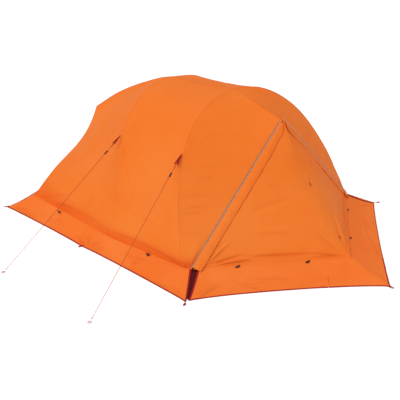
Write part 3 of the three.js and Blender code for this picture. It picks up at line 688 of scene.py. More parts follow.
WALL_FOLDS = (
    fan(GUY_POINT_REAR, [(-.99, -.82, .50), (-.86, -.86, .40), (-1.09, -.83, .42), (-1.34, -.75, .50),
                         (-1.05, -.52, .90), (-1.27, -.46, .88)], .016, .0030)
    + fan(GUY_POINT_FRONT, [(-.60, -.80, .50), (-.72, -.72, .62), (-.50, -.52, .90), (-.38, -.60, .80)],
          .014, .0022)
    + [((-.30, -.80, .50), (-.20, -.62, .47), .010, .0022, .8),
       ((-.31, -.83, .44), (-.21, -.66, .42), .010, -.0020, .8),
       ((-.33, -.78, .57), (-.22, -.60, .55), .011, .0022, .8),
       ((-.35, -.73, .66), (-.24, -.50, .63), .012, -.0018, .6),
       ((-.28, -.86, .33), (-.20, -.74, .31), .009, .0018, .8),
       ((-.37, -.70, .74), (-.25, -.44, .72), .013, .0016, .6)]
    + fan(REAR_HEM_CORNER, [(-1.72, -.86, .30), (-1.55, -.88, .26), (-1.40, -.92, .19), (-2.05, -.62, .28)],
          .017, .0045)
    + [((-1.75, -.93, .135), (-1.02, -.96, .150), .030, -.0050, .2),
       ((-.98, -.95, .140), (-.30, -.90, .150), .026, -.0040, .2),
       ((-1.50, -.80, .36), (-1.20, -.86, .28), .030, .0035, .5),
       ((-.85, -.88, .34), (-.45, -.86, .30), .030, .0030, .5),
       ((-1.60, -.30, .86), (-2.00, -.34, .55), .030, .0035, .4),
       ((-1.50, -.55, .66), (-1.95, -.62, .36), .030, -.0035, .4),
       ((-1.90, -.10, .75), (-1.75, -.62, .42), .026, .0035, .5)]
)
DOOR_FOLDS = (
    fan((-.10, -.83, .115), [(.10, -.53, .150), (.07, -.60, .19), (-.03, -.65, .26), (.20, -.42, .125)],
        .013, .0040, .7)
    + fan((.49, -.03, .115), [(.33, -.22, .17), (.28, -.32, .135), (.26, -.14, .27), (.20, -.44, .118)],
          .013, .0038, .7)
    + [((.02, -.60, .14), (.36, -.20, .14), .020, -.0045, .3),
       ((.03, -.48, .30), (.20, -.28, .30), .028, .0030, .4),
       ((-.06, -.30, .62), (.02, -.20, .52), .022, .0028, .5),
       ((-.02, -.44, .42), (.12, -.18, .48), .030, -.0028, .4)]
)
SKIRT_FOLDS = (
    fan((-.01, -1.08, .004),
        [(-.10, -1.00, .035), (-.22, -1.03, .022), (-.14, -.94, .07), (-.34, -1.05, .018)], .012, .0048)
    + fan((-1.06, -1.085, .004),
          [(-1.00, -1.00, .05), (-1.12, -1.00, .05), (-.90, -1.03, .025), (-1.24, -1.03, .025)], .012, .0045)
    + fan((-2.10, -1.08, .004),
          [(-2.03, -1.00, .04), (-1.88, -1.03, .025), (-1.98, -.97, .07), (-1.74, -1.05, .018)], .013, .0050)
    + [((-.40, -.98, .06), (-.78, -1.02, .04), .020, .0035, .4),
       ((-1.35, -1.00, .05), (-1.72, -1.04, .03), .020, .0038, .4),
       ((-.55, -1.05, .02), (-.70, -.98, .08), .016, -.0030, .5),
       ((-1.50, -.97, .08), (-1.60, -1.06, .02), .016, -.0030, .5)]
)
DOOR_SKIRT_FOLDS = (
    fan((.02, -1.06, .004), [(.10, -.90, .035), (.16, -.84, .022), (.06, -.84, .07), (.26, -.72, .015)],
        .012, .0055)
    + fan((.58, -.32, .004), [(.50, -.34, .035), (.44, -.42, .025), (.50, -.24, .06), (.36, -.56, .012)],
          .012, .0045)
    + [((.16, -.68, .07), (.36, -.44, .05), .020, .0040, .4),
       ((.10, -.74, .08), (.30, -.62, .02), .018, -.0035, .4)]
)
TAIL_SKIRT_FOLDS = (
    fan((-2.13, -1.06, .004), [(-2.14, -.94, .05), (-2.24, -.80, .03), (-2.08, -.86, .08)], .014, .0060)
    + fan((-2.63, -.04, .004), [(-2.52, -.12, .06), (-2.50, -.24, .04), (-2.44, -.40, .03)], .014, .0055)
)
TIP_SKIRT_FOLDS = fan(SKIRT_TIP + [-.02, 0, .003], [(.72, -.04, .03), (.70, -.10, .018), (.66, -.02, .05)],
                      .012, .0060)


def scaled(folds, deeper, wider=1.0):
    return [(start, end, width * wider, depth * deeper, skew) for start, end, width, depth, skew in folds]


def turned(folds, seed):
    """The same kind of folds for the far side, each a little different."""
    pick = np.random.default_rng(seed)
    out = []
    for start, end, width, depth, skew in folds:
        shift = pick.normal(0, 0.035, 3)
        out.append((np.array(start) + shift * 0.5, np.array(end) + shift, width * pick.uniform(.8, 1.25),
                    depth * pick.uniform(.6, 1.1), skew * pick.choice([-1, 1])))
    return out


def relax(grid, normal, seed, folds, amount, held):
    """Adds a sheet's folds and its faint unevenness, held at the edges."""
    move = folds_on(grid, normal, folds)
    move += amount * noise(grid, 0.21, seed) + amount * 0.35 * noise(grid, 0.055, seed + 1)
    return grid + normal * (move * held)[..., None]


ROWS = 152
RIDGE_SAG = 0.010               # between the two hoops
FOOT_BULGE = 0.028              # the walls belly out over the hem, which pulls them in
V = np.linspace(0, 1, ROWS)


def fly_half(seed, folds, bulge):
    """The near half of the fly, from the zip over both hoops to the tail, hem to ridge."""
    ribs = [zip_edge(V), front_seam(V), rear_seam(V), rear_edge(V), tail_edge(V)]
    counts = (36, 70, 100, 84)
    sags = (0.007, 0.015, 0.024, 0.010)
    parts, seams, at = [], [], 0
    for k, (a, b, n, sag) in enumerate(zip(ribs, ribs[1:], counts, sags)):
        u = np.linspace(0, 1, n + 1)
        if k == 0:
            inset = (ZIP_INSET / np.maximum(np.linalg.norm(b - a, axis=1), 0.03))[:, None]
            u = inset * (1 - u)[None] + u[None]
        u = np.broadcast_to(u, (ROWS, n + 1))
        grid = a[:, None] + (b - a)[:, None] * u[..., None]
        if k == 1:
            grid[..., 2] -= RIDGE_SAG * 4 * u * (1 - u) * (V ** 3)[:, None]
        if k == 2:
            chord = a[-1][2] + (b[-1][2] - a[-1][2]) * u
            x = a[-1][0] + (b[-1][0] - a[-1][0]) * u
            grid[..., 2] += np.maximum(ridge_height(x) - chord, 0) * (V ** 3)[:, None]
        normal = normals_of(grid, AWAY)
        grid = grid - normal * (sag * 4 * u * (1 - u) * (np.sin(np.pi * V) ** 0.8)[:, None])[..., None]
        grid[-1, :, 1] = 0
        parts.append(grid if k == 0 else grid[:, 1:])
        at += n
        seams.append(at)
    whole = np.concatenate(parts, axis=1)
    column = np.arange(whole.shape[1])
    ends = smooth(column, 0, 12) * smooth(column[::-1], 0, 20)
    ends = ends * (1 - .85 * np.exp(-((column - seams[2]) / 14) ** 2))
    rise = whole[..., 2] - HEM
    foot = bulge * smooth(rise, 0, .062) * (1 - smooth(rise, .075, .24)) * ends[None]
    whole = whole + normals_of(whole, AWAY) * [1, 1, .3] * foot[..., None]
    whole[:, -1, 1] = 0
    normal = normals_of(whole, AWAY)
    pucker = np.zeros(whole.shape[:2])
    held = np.ones(whole.shape[:2])
    along = grid_uv(whole)[..., 1]
    waves = 0.00050 * np.sin(2 * np.pi * along / 0.036 + 3 * np.sin(along * 5))
    for k in seams[:-1]:
        far = np.linalg.norm(whole - whole[:, k:k + 1], axis=-1)
        pucker += waves * np.exp(-(far / 0.022) ** 1.2)
        held = held * (1 - 0.75 * np.exp(-((column - k) / 2.2) ** 2))[None]
    held = held * smooth(V, 0, 0.03)[:, None] * smooth(1 - V, 0, 0.02)[:, None] * smooth(column, -1, 3)[None]
    held[:, -3:] *= np.array([0.6, 0.3, 0.0])
    moved = relax(whole, normal, seed, folds, 0.0018, held) + normal * pucker[..., None] * held[..., None]
    moved[-1, :, 1] = 0
    moved[:, -1, 1] = 0
    moved[..., 1] = np.minimum(moved[..., 1], 0)
    return moved, seams


def crease_at(v):
    """The slack line where the two doors meet, at the share v of its height from the hem tip."""
    z = HEM + (FRONT_APEX[2] - HEM) * np.asarray(v)
    x = np.interp(z, CREASE_SAMPLES[:, 2], CREASE_SAMPLES[:, 0])
    return np.stack([x, np.zeros_like(x), z], -1)


def crease_slack(v):
    """How far the crease hangs from the straight line between the tip and the apex."""
    return crease_at(v) - mix(HEM_TIP, FRONT_APEX, v)


DOOR_COLUMNS = 120
DOOR_TOP = 0.997


def valley(share, width):
    """How much of the crease's slack reaches a point of the door, by its share of the way from the zip."""
    return np.exp(-((1 - share) * width / .105) ** 1.12) * smooth(share, 0, .45)


def door_half(seed, folds):
    """The near vestibule door, from the zip (first column) to the crease (last column)."""
    v = DOOR_TOP * np.linspace(0, 1, 170) ** 1.35
    a, chord = zip_edge(v), mix(HEM_TIP, FRONT_APEX, v)
    u = np.linspace(0, 1, DOOR_COLUMNS)
    width = np.linalg.norm(chord - a, axis=1)
    start = (ZIP_INSET / np.maximum(width, 0.02))[:, None]
    share = start + (1 - start) * u[None]
    flat = a[:, None] + (chord - a)[:, None] * share[..., None]
    grid = flat + crease_slack(v)[:, None] * valley(share, width[:, None])[..., None]
    normal = normals_of(grid, lambda g: np.broadcast_to([0.7, -0.5, 0.5], g.shape))
    belly = 0.006 * np.sin(np.pi * share) * np.sin(np.pi * v / DOOR_TOP)[:, None]
    held = smooth(v, 0, 0.04)[:, None] * smooth(u, 0, 0.04)[None] * smooth(1 - u, 0, 0.04)[None]
    grid = relax(grid, normal, seed, folds, 0.0020, held) + normal * belly[..., None]
    grid[:, -1, 1] = 0
    grid[..., 1] = np.minimum(grid[..., 1], 0)
    return grid


def side_hem(u):
    stations = np.array([FRONT_HEM_CORNER, front_seam(0), rear_seam(0), REAR_HEM_CORNER])
    x = FRONT_HEM_CORNER[0] + (REAR_HEM_CORNER[0] - FRONT_HEM_CORNER[0]) * u
    return along_line(stations, -stations[:, 0], -x)


def door_hem(u):
    return mix(FRONT_HEM_CORNER, HEM_TIP, u)


def skirt_height(w):
    """The height of a skirt at the share w of its way from the hem to the ground."""
    return .0025 + (HEM - .0025) * (1 - w) ** 1.35


def skirt_grid(hem, ground, columns, seed, folds, bow, pegs=(0, 1)):
    """A snow skirt from the hem down to its outer edge, drawn in between its peg loops."""
    u = np.linspace(0, 1, columns)
    w = np.linspace(0, 1, 36)
    top, low = hem(u), ground(u)
    inward = unit((top - low) * [1, 1, 0])
    away = np.min(np.abs(u[:, None] - np.array(pegs)[None]), axis=1) * 2 * (len(pegs) - 1)
    low = low + inward * (bow * np.sin(np.pi * np.clip(away, 0, 1) / 2) ** .5)[:, None]
    grid = top[None] + (low - top)[None] * w[:, None, None]
    grid[..., 2] = skirt_height(w)[:, None]
    lift = 0.004 * np.maximum(0, noise(grid, 0.09, seed + 5)) * smooth(w, 0.5, 1)[:, None]
    lift = lift * smooth(away, 0, 0.3)[None]
    normal = normals_of(grid, UPWARD)
    ends = smooth(u, 0, 0.035) * smooth(1 - u, 0, 0.035)
    held = smooth(w, 0, 0.12)[:, None] * (1 - 0.7 * smooth(w, 0.9, 1))[:, None] * ends[None]
    grid = relax(grid, normal, seed, folds, 0.0026, held)
    grid[..., 2] = np.maximum(grid[..., 2] + lift * ends[None], 0.0022)
    return grid


def front_rim(side):
    """The outer edge of the front skirts from the corner (0) to the tip (1), drawn in between its pegs."""
    edge = unit(SKIRT_TIP - SKIRT_CORNER)
    inward = np.array([-edge[1], edge[0], 0])
    depth = .056 if side == NEAR else .016

    def at(share):
        bow = .004 + depth * np.sin(np.pi * np.clip(share, 0, 1)) ** .5
        return mix(SKIRT_CORNER, SKIRT_TIP, share) + inward * bow[..., None]
    return at


# ---------------------------------------------------------------- camera, light and floor

def stage_set():
    scene = bpy.context.scene
    yaw, tilt = 0.795, 0.421
    look = Vector((-math.cos(yaw) * math.cos(tilt), math.sin(yaw) * math.cos(tilt), -math.sin(tilt)))
    data = bpy.data.cameras.new("camera")
    data.lens, data.sensor_width = 69.67, 36
    data.shift_x, data.shift_y = -0.0162, -0.001
    data.clip_end = 60
    camera = bpy.data.objects.new("camera", data)
    camera.location = (4.019, -4.087, 2.665)
    camera.rotation_euler = look.to_track_quat("-Z", "Y").to_euler()
    scene.collection.objects.link(camera)
    scene.camera = camera

    scene.world = bpy.data.worlds.new("studio")
    scene.world.use_nodes = True
    back = scene.world.node_tree.nodes["Background"]
    back.inputs[0].default_value = (1, 1, 1, 1)
    back.inputs[1].default_value = 0.86
    suns = (("key", 1.25, 0.6, (-.05, .80, -.86)), ("top", 0.40, 1.2, (-.1, .15, -1.0)))
    for name, energy, spread, toward in suns:
        lamp = bpy.data.lights.new(name, "SUN")
        lamp.energy, lamp.angle = energy, spread
        obj = bpy.data.objects.new(name, lamp)
        obj.rotation_euler = Vector(toward).to_track_quat("-Z", "Y").to_euler()
        scene.collection.objects.link(obj)
    scene.view_settings.view_transform = "Standard"

    m = Paint("studio_floor", 0.9)
    speck = m.noise(6.0, 3.0)
    m.colour(m.blend(m.span(speck, 0.3, 0.7, 0.0, 0.3), (.96, .96, .96), (.94, .94, .94)))
    side = np.linspace(-30, 30, 9)
    grid = np.stack([*np.meshgrid(side, side), np.full((9, 9), -0.0004)], -1)
    faces = grid_faces(9, 9)
    uvs = [grid_uv(grid).reshape(-1, 2)[faces.ravel()]]
    build("studio_floor", grid.reshape(-1, 3), faces.tolist(), uvs, m.material)


# ---------------------------------------------------------------- guy lines

KNOT_TURNS = 2


def knot(at, along, normal, radius):
    """Cord wound round the line."""
    t = np.linspace(0, 1, 14 * KNOT_TURNS + 1)
    side = unit(np.cross(along, normal)) * radius * 1.7
    path = arc(at, side, normal * radius * 1.7, 2 * np.pi * KNOT_TURNS * t)
    return rod(path + np.outer(t - 0.5, along) * radius * 2 * KNOT_TURNS, along, radius * 0.9)


def guy_lines():
    for name, guy in GUYS.items():
        start, end, middle = (np.array(guy[k]) for k in ("start", "end", "tensioner"))
        along = unit(end - start)
        across = unit(np.cross(along, [0, 0, 1]))
        normal = np.cross(along, across)
        if normal[2] < 0:
            normal = -normal
        path = run(start, end, 40)
        line = piece(f"cord_{name}", [rod(path, normal, GUY_DIAMETER / 2, 10)], "cord",
                     replaces=f"guy_line_{name}")

        # the tensioner: a flat moulded bar with a waist and three raised eyes
        parts = [block_data((.034, .0115, .0065), middle, [along, across, normal], .0018, 3,
                            [(0, 0.0, .007, .18)])]
        for off in (-.0115, 0.0, .0115):
            eye = arc(middle + along * off + normal * .0030, along * .0034, across * .0034, turn(16))
            parts.append(rod(eye, normal, .0011, closed=True))
        bar = piece(f"tensioner_{name}", parts, "plastic", f"tensioner_{name}", f"guy_tensioner_{name}")

        # the end loop on the ground and its knot
        flat = unit(along * [1, 1, 0])
        centre = np.array([*guy["ground"], .0020]) + flat * 0.004
        ring = arc(centre, flat * .0125, np.cross([0, 0, 1], flat) * .0100, turn(32))
        loop = piece(f"end_loop_{name}", [
            rod(ring, [0, 0, 1], GUY_DIAMETER / 2, closed=True),
            knot(end - along * .006 + normal * .0006, along, normal, .0014)], "cord",
            replaces=f"guy_end_loop_{name}")

        guy_tab(name, start - along * .058, along, across, normal)


def guy_tab(name, apex, along, across, normal):
    """A tapered webbing tab sewn to the hoop's seam, in two prongs, with a cord from both to the line."""
    parts = []
    for sign in (-1, 1):
        path = run(apex + across * sign * .0018, apex + along * .086 + across * sign * .0110, 14)
        path = path + np.outer(np.sin(np.linspace(0, np.pi, 14)), normal) * .0012
        parts.append(band(path, normal, .0130, .0016, size=np.linspace(0.36, 1.0, 14)))
    parts.append(band(run(apex, apex + along * .072, 8), normal, .020, .0014, size=np.linspace(.25, 1, 8)))
    piece(f"tab_{name}", parts, "dark_webbing", replaces=f"guy_tab_{name}")
    end = apex + along * .110
    parts = [knot(end, along, normal, .0016)]
    for sign in (-1, 1):
        eye = apex + along * .080 + across * sign * .0100 + normal * .0012
        parts.append(rod(run(eye, end, 8), normal, .0012))
    piece(f"tab_cord_{name}", parts, "cord", replaces=f"guy_tab_{name}")


# ---------------------------------------------------------------- fly

def both_sides(near, far):
    return [(near, False), (mirror(far), True)]


def one_side(grid, side):
    return [(sided(side)(grid), side == FAR)]


def over_the_top(near, far):
    """One line up the near side and down the far side."""
    return np.vstack([near[::2], far[::2][::-1][1:]])


def fly():
    """The canopy, the tapes on its seams over the poles and the felled seam round its hem."""
    folds = scaled(WALL_FOLDS, 2.8, .85)
    near, seams = fly_half(11, folds, FOOT_BULGE)
    far, _ = fly_half(23, turned(folds, 5), FOOT_BULGE * .4)
    panels = [f"fly_{part}_{side}" for part in ("front", "middle", "rear", "tail") for side in (NEAR, FAR)]
    canopy = cloth("fly_canopy", both_sides(near, far), "fly", panels, "tent")

    near_up, far_up = normals_of(near, AWAY), normals_of(mirror(far), AWAY)
    for label, column in zip(("front_hoop", "rear_hoop", "rear_edge"), seams):
        path = over_the_top(near[:, column], mirror(far)[:, column])
        normal = over_the_top(near_up[:, column], far_up[:, column])
        if label == "rear_edge":
            normal = unit(normal + [-0.3, 0, 0])
        piece(f"seam_{label}", [band(path, normal, SEAM_TAPE, .0008, -.0005)], "seam")
    ridge = near[-1, :seams[2] + 1:2]
    top = np.column_stack([-np.gradient(ridge[:, 2]), np.zeros(len(ridge)), np.gradient(ridge[:, 0])])
    top = unit(np.where(top[:, 2:3] < 0, -top, top))
    piece("seam_ridge", [band(ridge, top, SEAM_TAPE, .0008, -.0001)], "seam")
    backwards = unit(np.array([-.93, 0, .36]))
    piece("seam_tail", [band(near[::3, -1], backwards, SEAM_TAPE, .0009)], "seam")
    for side, grid in ((NEAR, near), (FAR, far)):
        hem = grid[0]
        out = np.broadcast_to([0, -1.0, 0.55], hem.shape).copy()
        out[seams[2]:] = unit(np.array([-0.80, -.38, .5]))
        flip = sided(side)
        felled = band(flip(hem[::2]), flip(unit(out)[::2]), .0070, .0010, -.0004)
        piece(f"hem_tape_{side}", [felled], "seam")


# ---------------------------------------------------------------- skirts

def bound_edge(name, path, normal, body, width=BINDING):
    """Tape folded over an edge: a flat band on top and one below, joined round the edge."""
    return piece(name, [band(path, normal, width, .0034, -.0019)], "binding", body)


def side_skirt(side, seed):
    near, flip = side == NEAR, sided(side)
    folds = scaled(SKIRT_FOLDS, 3.2, .8)
    grid = skirt_grid(lambda u: side_hem(.0085 + u * .9915),
                      lambda u: mix(SKIRT_CORNER, SKIRT_REAR_CORNER, .0045 + u * .9955),
                      250, seed, folds if near else turned(folds, 9), bow=.014, pegs=(0, .53, 1))
    sheet = cloth(f"skirt_side_{side}_cloth", one_side(grid, side), "skirt", [f"skirt_side_{side}"], "tent")
    up = normals_of(flip(grid), UPWARD)
    edge = bound_edge(f"skirt_side_binding_{side}", flip(grid[-1])[::2], up[-1][::2], "tent",
                      BINDING if near else BINDING * .5)
    end = bound_edge(f"skirt_side_tape_{side}", flip(grid[:, 0]), up[:, 0], "tent", .007 if near else .004)


def tail_skirt(side, seed):
    flip = sided(side)
    grid = skirt_grid(lambda u: mix(REAR_HEM_CORNER, HEM_TAIL, u),
                      lambda u: mix(SKIRT_REAR_CORNER, SKIRT_TAIL, u),
                      120, seed, TAIL_SKIRT_FOLDS, bow=.082)
    grid[:, -1, 1] = 0
    sheet = cloth(f"skirt_tail_{side}_cloth", one_side(grid, side), "skirt", [f"skirt_tail_{side}"], "tent")
    up = normals_of(flip(grid), UPWARD)
    edge = bound_edge(f"skirt_tail_binding_{side}", flip(grid[-1])[::2], up[-1][::2], "tent")


def tip_skirt():
    """The skirt's tip in front of both doors, one sheet over both sides."""
    halves = []
    crease_foot = HEM_TIP + [.004, 0, 0]
    for side in (NEAR, FAR):
        rim = front_rim(side)
        half = skirt_grid(lambda u: mix(HEM_TIP - [0, .002, 0], crease_foot, u),
                          lambda u: rim(1 - GUSSET_SHARE * (1 - u)), 44, 61, TIP_SKIRT_FOLDS, bow=0)
        half[:, -1] = run(crease_foot, SKIRT_TIP + [.001, 0, 0], len(half))
        half[:, -1, 2] = skirt_height(np.linspace(0, 1, len(half)))
        halves.append(half)
    tip = cloth("skirt_tip_cloth", both_sides(*halves), "skirt", ["skirt_tip"], "tent")
    rim = np.vstack([halves[0][-1], mirror(halves[1][-1])[::-1][1:]])
    edge = bound_edge("skirt_tip_binding", rim[::2], [0, 0, 1], "tent")


def skirts():
    for side, seed in ((NEAR, 31), (FAR, 47)):
        side_skirt(side, seed)
        tail_skirt(side, seed + 3)
    tip_skirt()


# ---------------------------------------------------------------- vestibule doors

DOOR_ALONG = unit(FRONT_APEX - FRONT_HEM_CORNER)
DOOR_OUT = unit(np.cross(FRONT_HEM_CORNER - FRONT_APEX, HEM_TIP - FRONT_APEX))
DOOR_ACROSS = HEM_TIP - FRONT_HEM_CORNER
DOOR_ACROSS = unit(DOOR_ACROSS - DOOR_ALONG * np.dot(DOOR_ACROSS, DOOR_ALONG))
HINGE_MIDDLE = (HEM_TIP + FRONT_APEX) / 2
HINGE_TO_CORNER = unit(np.cross(DOOR_OUT, unit(FRONT_APEX - HEM_TIP)))
BLEND_START = (crease_slack(np.linspace(0, 1, 40)) @ HINGE_TO_CORNER).max() + .004
BLEND_END = .110


def hang(obj, side):
    """Bakes a door's piece's placement into its mesh; the ends of the stretch between the crease, which
    stays, and the swinging part are worked out but the piece is not bent.
    """
    ends = [sided(side)(HINGE_MIDDLE + HINGE_TO_CORNER * off) + SHIFT for off in (BLEND_START, BLEND_END)]
    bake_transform(obj)


def door_sheets(side, seed):
    """The door's panel, its snow skirt and the tapes on the skirt's edges and at the hem."""
    near, flip = side == NEAR, sided(side)
    folds = scaled(DOOR_FOLDS, 3.3, .72)
    grid = door_half(seed, folds if near else turned(folds, 13))
    panel = cloth(f"door_cloth_{side}", one_side(grid, side), "door", [f"door_panel_{side}"])
    hang(panel, side)

    rim = front_rim(side)
    folds = scaled(DOOR_SKIRT_FOLDS, 3.4, .80)
    first, foot = (.040, .014) if near else (.012, .006)
    skirt = skirt_grid(lambda u: door_hem(first + u * (1 - first)),
                       lambda u: rim(foot + u * (1 - GUSSET_SHARE - foot)),
                       180, seed + 2, folds if near else turned(folds, 17), bow=0)
    skirt[..., 1] = np.minimum(skirt[..., 1], -.002)
    low = cloth(f"door_skirt_{side}_cloth", one_side(skirt, side), "skirt", [f"door_skirt_{side}"])
    up = normals_of(flip(skirt), UPWARD)
    edge = bound_edge(f"door_skirt_binding_{side}", flip(skirt[-1])[::2], up[-1][::2], None,
                      BINDING if near else BINDING * .6)
    slit = bound_edge(f"door_skirt_slit_tape_{side}", flip(skirt[:, 0]), up[:, 0], None,
                      .013 if near else .005)
    hem = flip(door_hem(first + np.linspace(0, 1, 90) * .960))
    seam = piece(f"door_hem_tape_{side}", [band(hem, flip(DOOR_OUT), .012, .0012, -.0002)], "seam", None)
    for obj in (low, edge, slit, seam):
        hang(obj, side)


def storm_flap(side, seed):
    """A flap sewn beside the zip, bellied over it and rippled at its foot; on the near side a dark strip
    along its free edge is painted shadow for the shade under that edge, and on the far side the edge strip is
    orange seam tape.
    """
    near, flip = side == NEAR, sided(side)
    w, t = np.linspace(.012, .980, 150)[:, None], np.linspace(0, 1, 16)[None]
    room = np.linalg.norm(mix(HEM_TIP, FRONT_APEX, w) - zip_edge(w), axis=-1)
    wide = np.minimum(.057, room * .84 - .002)
    rise = .0048 + (.0085 if near else .0030) * np.sin(np.pi * t ** .8)
    rise = rise + .0050 * smooth(.22 - w, 0, .16) * t ** 2
    flap = zip_edge(w) + DOOR_ACROSS * (t * (wide + .009) - .009)[..., None] + DOOR_OUT * rise[..., None]
    flap = flap + crease_slack(w) * valley(t * wide / room, room)[..., None]
    ripple = (.0016 * np.sin(2 * np.pi * (w * 9 + .4 * t)) * t * smooth(1 - w, 0, .3)
              + .0042 * np.sin(2 * np.pi * w * 24) * t ** 1.5 * smooth(.20 - w, 0, .18))
    flap = flap + DOOR_OUT * (np.maximum(ripple, -.0015) + .0020 * noise(flap, .045, seed))[..., None]
    sheet = cloth(f"storm_flap_{side}_cloth", one_side(flap, side), "flap", [f"storm_flap_{side}"],
                  f"door_{side}")
    # On the near side this edge strip is a dark painted shadow for the shade under the flap's edge.
    free = band(flip(flap[::2, -1]), flip(DOOR_OUT), .0040 if near else .0024, .0022, -.0011)
    edge = piece(f"flap_edge_{side}", [free], "edge" if near else "seam", f"door_{side}")


def zip_and_piping(side):
    """Light piping and a dark strip of painted shadow beside it along the fly's side of the zip, and the
    zip's own tape and coil.
    """
    flip = sided(side)

    def beside(line, off, rise):
        return flip(line - DOOR_ACROSS * off + DOOR_OUT * rise)

    out = flip(DOOR_OUT)
    line = zip_edge(np.linspace(.004, .986, 120))
    sizes = {NEAR: (.0048, .0165, .0012, .0050), FAR: (.0078, .0088, .0064, .0030)}
    high, shade_strip_off, shade_strip_high, shade_strip = sizes[side]
    piece(f"zip_piping_{side}", [rod(beside(line, .0122, high), out, .0020, 10)], "piping")
    # A dark strip of painted shadow beside the piping, for the shade under the storm flap.
    piece(f"zip_shade_strip_{side}", [band(beside(line, shade_strip_off, shade_strip_high), out, shade_strip, .0012)], "shade_strip")
    chain = zip_edge(np.linspace(.02, .945, 90))
    piece(f"zip_coil_{side}", [band(beside(chain, 0, -.0012), out, .0150, .0010),
                               band(beside(chain, 0, .0002), out, .0046, .0018)],
          "coil", replaces=f"zip_chain_{side}")


def zip_slider(side):
    """A slider with a waist, its bridge, a wire ring and a pull tab."""
    flip = sided(side)
    at = zip_edge(.035) + DOOR_OUT * .004
    axes = flip(np.array([DOOR_ACROSS, DOOR_OUT, DOOR_ALONG]))
    ring = arc(at + DOOR_OUT * .0034 - DOOR_ALONG * .012, DOOR_ALONG * .0075, DOOR_ACROSS * .0028, turn(24))
    pull = run(at + DOOR_OUT * .0030 - DOOR_ALONG * .018, at + DOOR_OUT * .0022 - DOOR_ALONG * .040, 10)
    parts = [block_data((.0095, .0040, .0150), flip(at), axes, .0012, 2, [(2, -.002, .004, .22)]),
             block_data((.0030, .0030, .0090), flip(at + DOOR_OUT * .0030), axes, .0010),
             rod(flip(ring), flip(DOOR_OUT), .0009, 6, closed=True),
             band(flip(pull), flip(DOOR_OUT), .0052, .0016, size=np.linspace(1, .85, 10))]
    piece(f"zip_pull_{side}", parts, "toggle", f"slider_{side}", f"zip_slider_{side}")


def flap_tab(side):
    """A small red tab where the flap ends."""
    flip = sided(side)
    root = zip_edge(.024) + DOOR_ACROSS * .060 + DOOR_OUT * .0065
    path = flip(run(root, root + DOOR_ACROSS * .034 - DOOR_ALONG * .004, 8))
    piece(f"flap_tab_{side}", [band(path, flip(DOOR_OUT), .011, .0016, size=np.linspace(1, .6, 8))],
          "webbing", f"door_{side}")


def doors():
    for side, seed in ((NEAR, 71), (FAR, 83)):
        door_sheets(side, seed)
        storm_flap(side, seed + 8)
        zip_and_piping(side)
        zip_slider(side)
        flap_tab(side)


# ---------------------------------------------------------------- webbing, loops, hooks and toggles

def corner_webbing():
    """The dark gusset in the slit at each front corner of the skirts, and the strap beside it to the peg."""
    for side in (NEAR, FAR):
        near, flip = side == NEAR, sided(side)
        w = np.linspace(0, 1, 26)
        path = mix(FRONT_HEM_CORNER + [.012, .006, 0], SKIRT_CORNER + [.006, -.012, 0], w)
        path[:, 2] = np.maximum(.001 + (HEM - (.006 if near else .014)) * (1 - w) ** 1.30, .0015)
        dark = band(flip(path[:22]), flip([.3, -.3, .9]), .040 if near else .018, .0012, -.003,
                    np.linspace(1, .6, 22))
        piece(f"corner_gusset_{side}", [dark], "vent")
        corner = SKIRT_CORNER + [-.010, .002, 0]
        strap = mix(FRONT_HEM_CORNER + [-.006, -.008, 0], corner, w)
        strap[:, 2] = (.0042 if near else .0016) + (HEM - .001) * (1 - w) ** 1.33
        end = run(corner, SKIRT_CORNER + [.016, -.034, 0], 8)[1:]
        end[:, 2] = .0030
        strap = flip(np.vstack([strap, end]))
        piece(f"corner_strap_{side}",
              [band(strap, flip([.25, -.25, .93]), .0060 if near else .0040, .0016)], "webbing")


def peg_loop(name, at, direction, length=.030, width=.014, replaces=None):
    """A folded loop of webbing lying open on the ground, stitched down at its root."""
    direction = unit(np.array(direction, float))
    side = np.cross([0, 0, 1], direction)
    angle = np.pi * np.linspace(0, 1, 25)
    path = at + np.outer(np.sin(angle) ** .8 * length, direction) + np.outer(np.cos(angle) * width / 2, side)
    path[:, 2] = .0012 + .0016 * np.sin(angle)
    root = block_data((.012, width + .006, .0030), at + np.array([0, 0, .0030]) - direction * .006,
                      [direction, side, [0, 0, 1]], .0008)
    piece(name, [band(path, [0, 0, 1], .0062, .0016), root], "webbing", replaces=replaces)


HOOK_SPOTS = (((-1.556, -.968, .098), (-.04, -1, .5)), ((-.526, -.954, .100), (.04, -1, .5)),
              ((.038, -.643, .099), (.8, -.6, .5)), ((.334, -.254, .098), (.8, -.6, .5)))


def hem_hook(side, number, spot, out):
    """A small moulded hook under the hem, which holds the inner tent's shock cord."""
    flip = sided(side)
    on_door = number > 2
    out = unit(np.array(out, float))
    level = unit(np.cross(out, [0, 0, 1]))
    along = unit(level - np.cross(level, out) * (.45 if on_door else 0))
    up = np.cross(along, out)
    centre = np.array(spot) + out * .004
    arm = arc(centre, along * .0105, -up * .0085, np.linspace(-.2, 1.25 * np.pi, 14))
    bar = block_data((.034, .009, .008), flip(centre + up * .002), flip(np.array([along, up, out])), .0018)
    piece(f"hem_hook_{side}_{number}", [bar, rod(flip(arm), flip(out), .0024)], "hook",
          f"door_{side}" if on_door else "tent")


